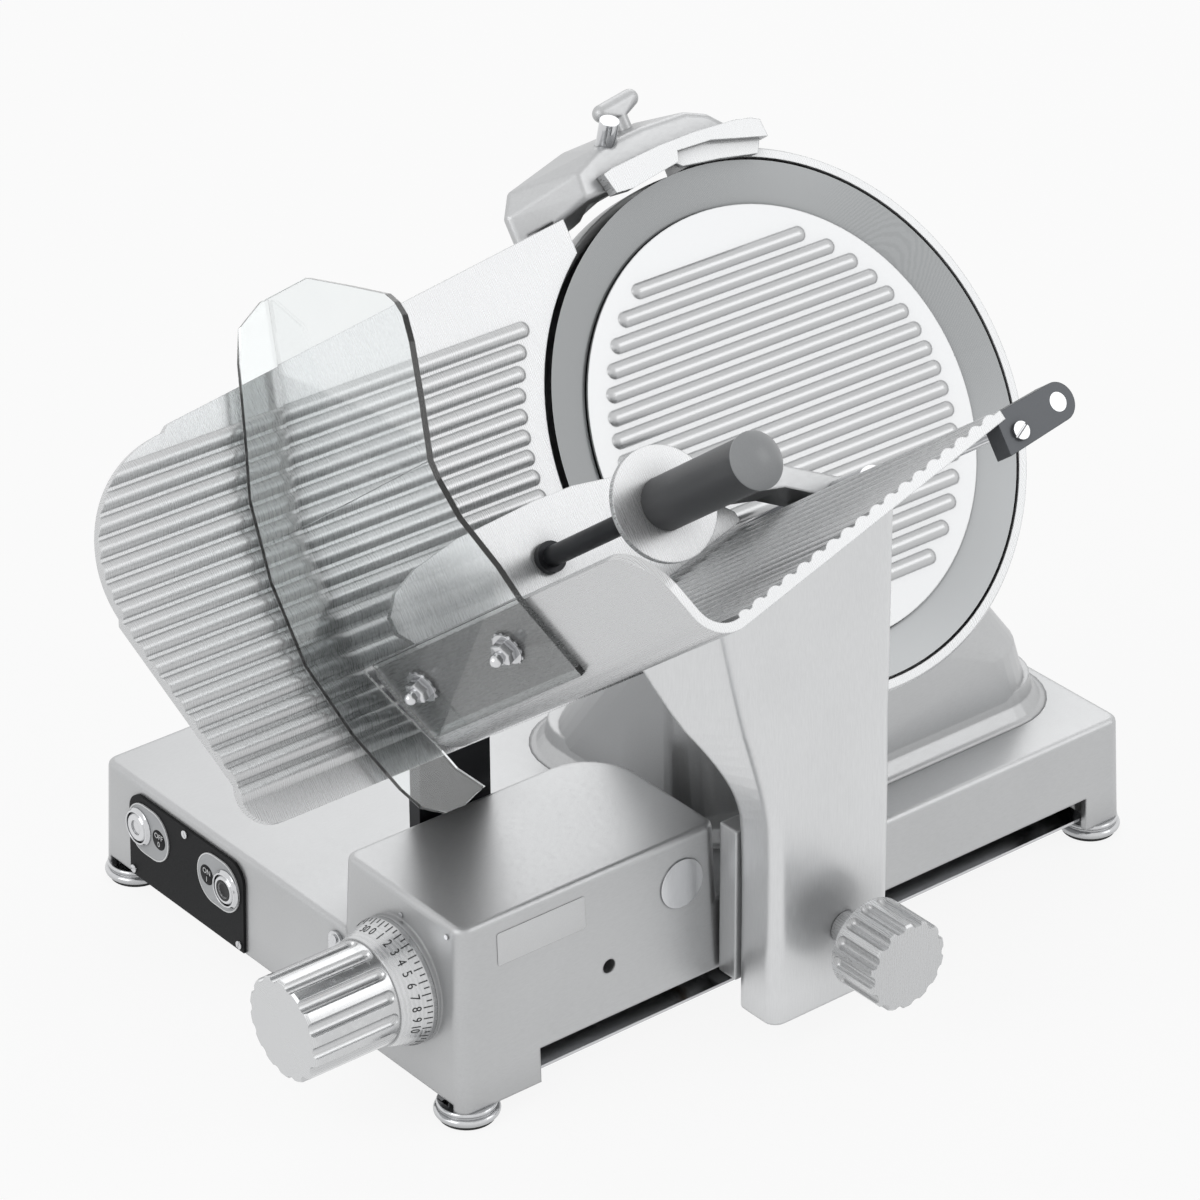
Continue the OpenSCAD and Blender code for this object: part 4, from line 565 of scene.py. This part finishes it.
def end_tree(tree, given, copies):
    """Makes a tree's copies real and gives them its material."""
    real = add_node(tree, "GeometryNodeRealizeInstances", {}, {}, {"Geometry": (copies, "Instances")})
    paint = add_node(tree, "GeometryNodeSetMaterial", {}, {}, {
        "Geometry": (real, "Geometry"), "Material": (given, "Material")})
    add_node(tree, "NodeGroupOutput", {}, {}, {"Geometry": (paint, "Geometry")})
    return tree


def repeat_round_tree():
    """Repeats the shape about the y axis: Count copies, Step apart, from Start on."""
    tree, given = new_tree("Repeat round an axis", {
        "Count": "Int", "Step": "Float", "Start": "Float", "Material": "Material"})
    points = add_node(tree, "GeometryNodePoints", {}, {}, {"Count": (given, "Count")})
    index = add_node(tree, "GeometryNodeInputIndex")
    angle = add_node(tree, "ShaderNodeMath", {"operation": "MULTIPLY_ADD"}, {}, {
        0: (index, "Index"), 1: (given, "Step"), 2: (given, "Start")})
    turn = add_node(tree, "ShaderNodeCombineXYZ", {}, {}, {"Y": (angle, "Value")})
    copies = add_node(tree, "GeometryNodeInstanceOnPoints", {}, {}, {
        "Points": (points, "Points"), "Instance": (given, "Geometry"), "Rotation": (turn, "Vector")})
    return end_tree(tree, given, copies)


def repeat_at_tree():
    """Puts a copy of Shape, Size times as large, on every point of the geometry."""
    tree, given = new_tree("Repeat at points", {"Shape": "Object", "Size": "Float", "Material": "Material"})
    shape = add_node(tree, "GeometryNodeObjectInfo", {}, {}, {"Object": (given, "Shape")})
    size = add_node(tree, "ShaderNodeCombineXYZ", {}, {}, {key: (given, "Size") for key in "XYZ"})
    copies = add_node(tree, "GeometryNodeInstanceOnPoints", {}, {}, {
        "Points": (given, "Geometry"), "Instance": (shape, "Geometry"), "Scale": (size, "Vector")})
    return end_tree(tree, given, copies)


def grown(name, bm, tree, inputs):
    """Runs a tree on a shape and gives back its result as a bmesh."""
    mesh = bpy.data.meshes.new(name)
    bm.to_mesh(mesh)
    bm.free()
    obj = bpy.data.objects.new(name + "_seed", mesh)
    bpy.context.scene.collection.objects.link(obj)
    modifier = obj.modifiers.new("Nodes", "NODES")
    modifier.node_group = tree
    sockets = {s.name: s.identifier for s in tree.interface.items_tree if s.in_out == "INPUT"}
    for key, value in inputs.items():
        modifier[sockets[key]] = value
    bpy.context.view_layer.update()
    result = bpy.data.meshes.new_from_object(obj.evaluated_get(bpy.context.evaluated_depsgraph_get()))
    bpy.data.objects.remove(obj)
    out = bmesh.new()
    out.from_mesh(result)
    bpy.data.meshes.remove(result)
    if not out.verts:
        raise RuntimeError("the tree made nothing for " + name)
    return out


# The dial's scale

CONE_SLOPE = math.atan2(DIAL_CONE_R0 - DIAL_CONE_R1, DIAL_CONE_L)
DIAL_PLACE = Matrix.Translation((DIAL_X * MM, 0, DIAL_Z * MM)) @ Matrix.Scale(MM, 4)
INK_LIFT, INK_SINK = 0.12, 0.06
TICK_FROM = 0.6

# The corners of a tick's six faces
TICK_FACES = ((0, 1, 3, 2), (4, 6, 7, 5), (0, 4, 5, 1), (2, 3, 7, 6), (0, 2, 6, 4), (1, 5, 7, 3))

NUMBERS = (*range(11), 15, 20, 25, 30)
NUMBER_GAP = 1.0
NUMBER_SQUEEZE = 0.82


def on_cone(along, turn, lift):
    """A point of the dial's ring: along its slope from the wall, clockwise from the top, and lifted."""
    r = DIAL_CONE_R0 - along * math.sin(CONE_SLOPE) + lift * math.cos(CONE_SLOPE)
    y = DIAL_CONE_Y - along * math.cos(CONE_SLOPE) - lift * math.sin(CONE_SLOPE)
    return Vector((r * math.sin(turn), y, r * math.cos(turn)))


def tick(length, width):
    """One tick at the top of the dial's ring."""
    bm = bmesh.new()
    half = width / 2 / DIAL_CONE_R0
    corners = [bm.verts.new(on_cone(along, side * half, lift)) for lift in (-INK_SINK, INK_LIFT)
               for along in (TICK_FROM, TICK_FROM + length) for side in (-1, 1)]
    for face in TICK_FACES:
        bm.faces.new([corners[i] for i in face])
    return bm


def dial_numbers(sizes, step):
    """The numbers, each wrapped round the dial's ring with its foot away from the wall."""
    bm = bmesh.new()
    height = sizes.numeral / MM
    foot = TICK_FROM + sizes.tick_long / MM + NUMBER_GAP + height
    r = DIAL_CONE_R0 - foot * math.sin(CONE_SLOPE)
    for number in NUMBERS:
        mesh = letters(str(number), height, INK_LIFT + INK_SINK)
        for vertex in mesh.vertices:
            x, y, z = vertex.co
            turn = sizes.zero + number * step + x * NUMBER_SQUEEZE / r
            vertex.co = on_cone(foot - y, turn, z + (INK_LIFT - INK_SINK) / 2)
        bm.from_mesh(mesh)
        bpy.data.meshes.remove(mesh)
    return bm


class SLICER_OT_dial_scale(bpy.types.Operator):
    """Adds the ticks and the numbers of the dial's ring"""

    bl_idname = "slicer.dial_scale"
    bl_label = "Dial scale"

    def execute(self, context):
        sizes = context.scene.slicer_sizes
        step = 2 * math.pi / sizes.units
        tree = repeat_round_tree()
        for name, length, start in (("dial_ticks_long", sizes.tick_long, 0.0),
                                    ("dial_ticks_short", sizes.tick_short, step / 2)):
            bm = grown(name, tick(length / MM, sizes.tick_width / MM), tree, {
                "Count": sizes.units, "Step": step, "Start": sizes.zero + start,
                "Material": MATERIALS["ink"]})
            finish_piece(name, bm, DIAL_PLACE, "ink", "dial")
        finish_piece("dial_numbers", dial_numbers(sizes, step), DIAL_PLACE, "ink", "dial")
        return {"FINISHED"}


# The switch panel, in millimetres. What stands on a face starts a little below it

SUNK = 0.1
PRINT_T = 0.12
FIELD_W, FIELD_H, FIELD_LINE = 45.0, 35.0, 0.9
DISC_IN, DISC_R, DISC_T, DISC_EDGE = 22.5, 7.2, 0.2, 0.15
WORD_H, WORD_T, WORD_LIFT = 4.0, 0.15, 0.25
WORD_Y, MARK_Y = 0.7, -5.0
RING_GAP = 0.35

# Profiles in the start button's face, as (radius, height)
START_RING = ((5.4, -0.2), (7.4, -0.2), (7.4, 0.12), (7.2, 0.2), (5.6, 0.2), (5.4, 0.12))
START_WELL = ((0, -1.2), (5.0, -1.2), (5.0, -0.85), (4.2, -0.8), (3.2, -0.95), (0, -0.95))


def field_outline():
    """The pale line round a grey field."""
    bm = bmesh.new()
    band(bm, stadium(FIELD_W + 2 * FIELD_LINE, FIELD_H + 2 * FIELD_LINE), stadium(FIELD_W, FIELD_H), -SUNK,
         BEZEL_T + PRINT_T)
    return bm


def dark_disc():
    """The dark disc beside a button."""
    bm = bmesh.new()
    lathe(bm, ((0, -SUNK), (DISC_R, -SUNK), (DISC_R, PRINT_T), (DISC_R - DISC_EDGE, DISC_T), (0, DISC_T)),
          48)
    return bm


def disc_words(word, mark):
    """A word over a mark, standing on the dark disc."""
    bm = bmesh.new()
    for text, y in ((word, WORD_Y), (mark, MARK_Y)):
        mesh = letters(text, WORD_H, WORD_T)
        mesh.transform(Matrix.Translation((0, y, WORD_LIFT)))
        bm.from_mesh(mesh)
        bpy.data.meshes.remove(mesh)
    return bm


def button_ring(outer):
    """The bevelled ring round a button."""
    bm = bmesh.new()
    inner = BUTTON_R + RING_GAP
    lathe(bm, ((inner, -SUNK), (outer, -SUNK), (outer, 0.7), (outer - 0.5, 1.3), (inner + 1.1, 3.1),
               (inner + 0.6, 3.3), (inner, 3.1)), 72)
    return bm


class SLICER_OT_panel_markings(bpy.types.Operator):
    """Adds the outlines, dark discs, words and rings of the switch panel"""

    bl_idname = "slicer.panel_markings"
    bl_label = "Panel markings"

    def execute(self, context):
        ring_r = context.scene.slicer_sizes.ring_r / MM
        top = PANEL_T + BEZEL_T
        buttons = (("stop", "OFF", "0", 1), ("start", "ON", "I", -1))
        for (name, word, mark, inward), x in zip(buttons, BUTTON_XS):
            field = front_wall(x + inward * BEZEL_OUT, BUTTON_H, PANEL_T)
            disc = front_wall(x + inward * DISC_IN, BUTTON_H, top)
            finish_piece(name + "_outline", field_outline(), field, "pale", "base")
            finish_piece(name + "_disc", dark_disc(), disc, "panel", "base")
            finish_piece(name + "_word", disc_words(word, mark), disc, "pale", "base")
            finish_piece(name + "_ring", button_ring(ring_r), front_wall(x, BUTTON_H, top), "chrome",
                         "base")
        # Dark ring and dark well in the start button's face
        face = front_wall(BUTTON_XS[1], BUTTON_H, PANEL_T + BUTTON_TOP)
        for name, profile in (("start_face_ring", START_RING), ("start_face_well", START_WELL)):
            bm = bmesh.new()
            lathe(bm, profile, 64)
            finish_piece(name, bm, face, "ink", "start")
        return {"FINISHED"}


# Small screws, nuts and plates, in millimetres

# How far two shapes of one piece, or a piece and what it stands on, reach into each other
OVERLAP = 0.02
HEAD_EDGE = 0.25
PANEL_SCREW_IN = 4.5
NUT_FLATS, NUT_LOW, NUT_TOP, NUT_EDGE = 13.0, 1.6, 8.4, 0.8
WASHER_R, WASHER_ROOT_R, WASHER_T = 11.4, 10.2, 0.9
WASHER_TEETH = 12
COVER_SCREW_IN = 9.0

# Profile of a cap screw under the bottom cover, as (radius, height)
CAP_SCREW = ((0, 0.3), (4.0, 0.3), (4.0, -1.0), (3.2, -1.8), (1.6, -2.0), (1.6, -0.8), (0, -0.8))


def slotted_head(r, t, slot_w, slot_d, steps=48):
    """A round screw head with a slot, its under side at z = 0."""
    bm = bmesh.new()
    from_slot = math.asin(slot_w / 2 / r)
    for side in (1, -1):
        arc = [from_slot + (math.pi - 2 * from_slot) * i / (steps // 2) for i in range(steps // 2 + 1)]
        outline = [(r * math.cos(a), side * r * math.sin(a)) for a in arc]
        if side < 0:
            outline.reverse()
        prism(bm, outline, t - slot_d, t, min(HEAD_EDGE, r / 8))
    floor = t - slot_d + OVERLAP
    lathe(bm, ((0, 0), (r, 0), (r, floor), (0, floor)), steps)
    return bm


def turned(place, angle):
    """A place turned about its own z axis."""
    return place @ Matrix.Rotation(angle, 4, "Z")


def add_panel_screws():
    """Slotted heads over the panel's three screws, each turned as it was left."""
    side = PANEL_W / 2 - PANEL_SCREW_IN
    low, high = PANEL_FOOT + PANEL_SCREW_IN, PANEL_FOOT + PANEL_H - PANEL_SCREW_IN
    screws = ((PANEL_X - side, low, 20), (PANEL_X + side, low, 75), (PANEL_X, high, 130))
    for i, (x, h, turn) in enumerate(screws):
        finish_piece("panel_screw_head_%d" % (i + 1), slotted_head(r=2.9, t=1.3, slot_w=0.7, slot_d=0.6),
                     turned(front_wall(x, h, PANEL_T), math.radians(turn)), "chrome", "base")


def add_bracket_screw():
    """Slotted screw in the end bracket."""
    finish_piece("bracket_screw_head", slotted_head(r=5.6, t=2.2, slot_w=1.3, slot_d=1.1),
                 turned(blade_frame(*BRACKET_SCREW), 0.5), "chrome", "carriage")


def toothed_washer():
    """A washer with square teeth, four steps to a tooth, on the guard's sheet."""
    bm = bmesh.new()
    steps = 4 * WASHER_TEETH
    outline = []
    for i in range(steps):
        r = WASHER_R if i % 4 < 2 else WASHER_ROOT_R
        a = 2 * math.pi * i / steps
        outline.append((r * math.cos(a), r * math.sin(a)))
    prism(bm, outline, GUARD_T - OVERLAP, GUARD_T + WASHER_T)
    return bm


def add_guard_nuts():
    """Hexagon nuts on the guard's studs, with a toothed washer under each."""
    for i, stud in enumerate(STUDS):
        bm = bmesh.new()
        prism(bm, hexagon(NUT_FLATS), GUARD_T + NUT_LOW, GUARD_T + NUT_TOP, NUT_EDGE)
        finish_piece("guard_nut_%d" % (i + 1), bm, turned(stud_frame(stud), 0.3 + i), "chrome", "carriage")
        finish_piece("guard_washer_%d" % (i + 1), toothed_washer(), stud_frame(stud), "steel", "carriage")


def add_cover_screws():
    """Cap screws under the bottom cover, near its corners and half-way along its sides."""
    (x0, y0, z), (x1, y1, _) = COVER_LOW, COVER_HIGH
    seed = bmesh.new()
    for x in (x0 + COVER_SCREW_IN, x1 - COVER_SCREW_IN):
        for y in (y0 + COVER_SCREW_IN, (y0 + y1) / 2, y1 - COVER_SCREW_IN):
            seed.verts.new((x, y, z))
    shape = bmesh.new()
    lathe(shape, CAP_SCREW, 32)
    bmesh.ops.recalc_face_normals(shape, faces=shape.faces)
    mesh = bpy.data.meshes.new("cap_screw")
    shape.to_mesh(mesh)
    shape.free()
    one = bpy.data.objects.new("cap_screw", mesh)
    bpy.context.scene.collection.objects.link(one)
    bm = grown("cover_screws", seed, repeat_at_tree(), {
        "Shape": one, "Size": 1.0, "Material": MATERIALS["steel"]})
    bpy.data.objects.remove(one)
    finish_piece("cover_screws", bm, Matrix.Scale(MM, 4), "steel", "base")


class SLICER_OT_fasteners(bpy.types.Operator):
    """Adds screw heads, the guard's nuts and washers, and the screws of the bottom cover"""

    bl_idname = "slicer.fasteners"
    bl_label = "Fasteners"

    def execute(self, context):
        add_panel_screws()
        add_bracket_screw()
        add_guard_nuts()
        add_cover_screws()
        return {"FINISHED"}


# Where the bare plate's middle stands on the wall, and its thickness
PLATE_Y, PLATE_H = FRONT_Y + 67.3, 109.3
PLATE_SUNK, PLATE_T, PLATE_EDGE, PLATE_CORNER = 0.05, 0.35, 0.12, 1.5


class SLICER_OT_bare_plate(bpy.types.Operator):
    """Adds the bare pale plate on the dial box's right wall"""

    bl_idname = "slicer.bare_plate"
    bl_label = "Bare plate"

    def execute(self, context):
        sizes = context.scene.slicer_sizes
        outline = rounded_box(sizes.plate_w / MM, sizes.plate_h / MM, PLATE_CORNER)
        bm = bmesh.new()
        prism(bm, outline, -PLATE_SUNK, PLATE_T, PLATE_EDGE)
        finish_piece("bare_plate", bm, right_wall(PLATE_Y, PLATE_H), "pale", "base")
        return {"FINISHED"}


# The grip's cap reaches over the grip's edge, and is a slice of a ball
CAP_OVER, CAP_DOME, CAP_SKIRT, CAP_EDGE = 1.1, 6.6, 1.4, 0.4


class SLICER_OT_grip_cap(bpy.types.Operator):
    """Adds the pale domed cap at the grip's end"""

    bl_idname = "slicer.grip_cap"
    bl_label = "Grip cap"

    def execute(self, context):
        bm = bmesh.new()
        rim, rows = GRIP_R + CAP_OVER, 10
        ball = (rim * rim + CAP_DOME * CAP_DOME) / (2 * CAP_DOME)
        widest = math.asin(rim / ball)
        crown = [(ball * math.sin(widest * i / rows), CAP_DOME - ball + ball * math.cos(widest * i / rows))
                 for i in range(rows, 0, -1)]
        skirt = [(0, -CAP_SKIRT), (rim - CAP_EDGE, -CAP_SKIRT), (rim, CAP_EDGE - CAP_SKIRT)]
        lathe(bm, skirt + crown + [(0, CAP_DOME)], 96)
        finish_piece("grip_cap", bm, blade_frame(*STEM_AT, GRIP_END), "cap",
                     frame["nodes"]["grip"]["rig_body"])
        return {"FINISHED"}


class SLICER_OT_finishes(bpy.types.Operator):
    """Gives every node of the frame its finish"""

    bl_idname = "slicer.finishes"
    bl_label = "Finishes"

    def execute(self, context):
        for finishes in (metal_finishes, printed_finishes, moulded_finishes):
            MATERIALS.update(finishes(context.scene.slicer_colours))
        for part in frame["record"]["subparts"]:
            node = frame["nodes"][part["node"]]
            material = MATERIALS[NODE_FINISH.get(part["node"], part["material_slot"])]
            if not node.data.materials:
                node.data.materials.append(material)
            for slot in node.material_slots:
                slot.material = material
        return {"FINISHED"}


# The studio

# The camera that took the slicer's view: its focal length in pixels of a square picture, and its place
FOCUS_PX = 5199.341
IMAGE_PX = 1200
SENSOR = 36.0
CAMERA_AT = Vector((2513.74, -1614.20, 1880.475)) * MM
CAMERA_AZ, CAMERA_EL, CAMERA_ROLL = math.radians(51.268), math.radians(29.363), math.radians(-0.334)
CAMERA_REACH = 50

# Each lamp's width and place in metres, and the point that they all look at
LAMPS = {"key": (1.6, (2.3, 2.1, 2.2)), "rear": (1.8, (-1.6, 2.1, 1.9)), "front": (1.8, (0.2, -2.2, 1.8))}
LAMPS_TO = Vector((0.23, 0.27, 0.25))

# Half the floor's width in metres, and how much of its look is plain white rather than shadowed
FLOOR_HALF = 12
FLOOR_GLOW = 0.88


def add_camera(context):
    """The camera, turned from straight ahead by its azimuth, then down, then about its own axis."""
    right = Vector((math.cos(CAMERA_AZ), math.sin(CAMERA_AZ), 0))
    ahead = Vector((-math.sin(CAMERA_AZ) * math.cos(CAMERA_EL), math.cos(CAMERA_AZ) * math.cos(CAMERA_EL),
                    -math.sin(CAMERA_EL)))
    up = right.cross(ahead)
    side = math.cos(CAMERA_ROLL) * right + math.sin(CAMERA_ROLL) * up
    top = -math.sin(CAMERA_ROLL) * right + math.cos(CAMERA_ROLL) * up
    data = bpy.data.cameras.new("camera")
    data.sensor_width = SENSOR
    data.lens = FOCUS_PX / IMAGE_PX * SENSOR
    data.clip_end = CAMERA_REACH
    camera = bpy.data.objects.new("camera", data)
    camera.matrix_world = Matrix.Translation(CAMERA_AT) @ Matrix((side, top, -ahead)).transposed().to_4x4()
    context.scene.collection.objects.link(camera)
    context.scene.camera = camera


def add_lamp(context, name, power):
    """A soft square lamp that looks at the slicer."""
    size, at = LAMPS[name]
    data = bpy.data.lights.new(name, "AREA")
    data.energy, data.size = power, size
    lamp = bpy.data.objects.new(name, data)
    context.scene.collection.objects.link(lamp)
    lamp.location = at
    lamp.rotation_euler = (LAMPS_TO - Vector(at)).to_track_quat("-Z", "Y").to_euler()


def background_rays(tree):
    """1 for rays that see the background: the camera's, mirrored and refracted ones."""
    rays = add_node(tree, "ShaderNodeLightPath")
    shiny = add_node(tree, "ShaderNodeMath", {"operation": "MAXIMUM"}, {}, {
        0: (rays, "Is Glossy Ray"), 1: (rays, "Is Transmission Ray")})
    return add_node(tree, "ShaderNodeMath", {"operation": "MAXIMUM"}, {}, {
        0: (rays, "Is Camera Ray"), 1: (shiny, "Value")})


def studio_world(room):
    """White where it is seen, and as bright as the room light where it lights."""
    world = bpy.data.worlds.new("studio")
    world.use_nodes = True
    tree = world.node_tree
    tree.nodes.clear()
    level = add_node(tree, "ShaderNodeMapRange", {}, {"To Min": room, "To Max": 1.0},
                     {"Value": (background_rays(tree), "Value")})
    air = add_node(tree, "ShaderNodeBackground", {}, {"Color": (1, 1, 1, 1)},
                   {"Strength": (level, "Result")})
    add_node(tree, "ShaderNodeOutputWorld", {}, {}, {"Surface": (air, "Background")})
    return world


def pale_floor():
    """Mostly white where it is seen, with a share of matt white that keeps the shadow."""
    material = new_material("pale floor")
    tree = material.node_tree
    share = add_node(tree, "ShaderNodeMath", {"operation": "MULTIPLY"}, {1: FLOOR_GLOW},
                     {0: (background_rays(tree), "Value")})
    matt = add_node(tree, "ShaderNodeBsdfDiffuse", {}, {"Color": linear("#F4F4F4")})
    glow = add_node(tree, "ShaderNodeEmission", {}, {"Color": (1, 1, 1, 1), "Strength": 1.0})
    mix = add_node(tree, "ShaderNodeMixShader", {}, {}, {
        0: (share, "Value"), 1: (matt, "BSDF"), 2: (glow, "Emission")})
    add_node(tree, "ShaderNodeOutputMaterial", {}, {}, {"Surface": (mix, "Shader")})
    return material


def add_floor(context):
    """The wide floor under the feet."""
    bm = bmesh.new()
    bmesh.ops.create_grid(bm, x_segments=2, y_segments=2, size=FLOOR_HALF)
    mesh = bpy.data.meshes.new("floor")
    bm.to_mesh(mesh)
    bm.free()
    mesh.materials.append(pale_floor())
    floor = bpy.data.objects.new("floor", mesh)
    context.scene.collection.objects.link(floor)


class SLICER_OT_stage(bpy.types.Operator):
    """Adds the camera, the lamps, the pale floor and the room light"""

    bl_idname = "slicer.stage"
    bl_label = "Stage"

    def execute(self, context):
        settings = context.scene.slicer_stage
        add_camera(context)
        for name in LAMPS:
            add_lamp(context, name, getattr(settings, name))
        context.scene.world = studio_world(settings.room)
        context.scene.view_settings.view_transform = "Standard"
        add_floor(context)
        return {"FINISHED"}


# The add-on

OPERATORS = (SLICER_OT_stage, SLICER_OT_finishes, SLICER_OT_dial_scale, SLICER_OT_panel_markings,
             SLICER_OT_fasteners, SLICER_OT_bare_plate, SLICER_OT_grip_cap)


class SLICER_PT_sidebar(bpy.types.Panel):
    """Lists the slicer's pieces and settings"""

    bl_idname = "SLICER_PT_sidebar"
    bl_label = "Food slicer"
    bl_space_type = "VIEW_3D"
    bl_region_type = "UI"
    bl_category = "Slicer"

    def draw(self, context):
        scene = context.scene
        for group in (scene.slicer_colours, scene.slicer_sizes, scene.slicer_stage):
            box = self.layout.box()
            for key in group.__annotations__:
                box.prop(group, key)
        for operator in OPERATORS:
            self.layout.operator(operator.bl_idname)


GROUPS = {"slicer_colours": SlicerColours, "slicer_sizes": SlicerSizes, "slicer_stage": SlicerStage}


def register():
    """Adds the classes and the scene's settings."""
    for cls in (*GROUPS.values(), *OPERATORS, SLICER_PT_sidebar):
        bpy.utils.register_class(cls)
    for key, cls in GROUPS.items():
        setattr(bpy.types.Scene, key, bpy.props.PointerProperty(type=cls))


def unregister():
    """Takes the settings and the classes away."""
    for key in GROUPS:
        delattr(bpy.types.Scene, key)
    for cls in (SLICER_PT_sidebar, *reversed(OPERATORS), *GROUPS.values()):
        bpy.utils.unregister_class(cls)


def main():
    """Makes everything in order."""
    register()
    bpy.ops.slicer.stage()
    bpy.ops.slicer.finishes()
    bpy.ops.slicer.dial_scale()
    bpy.ops.slicer.panel_markings()
    bpy.ops.slicer.fasteners()
    bpy.ops.slicer.bare_plate()
    bpy.ops.slicer.grip_cap()


if __name__ == "__main__":
    main()
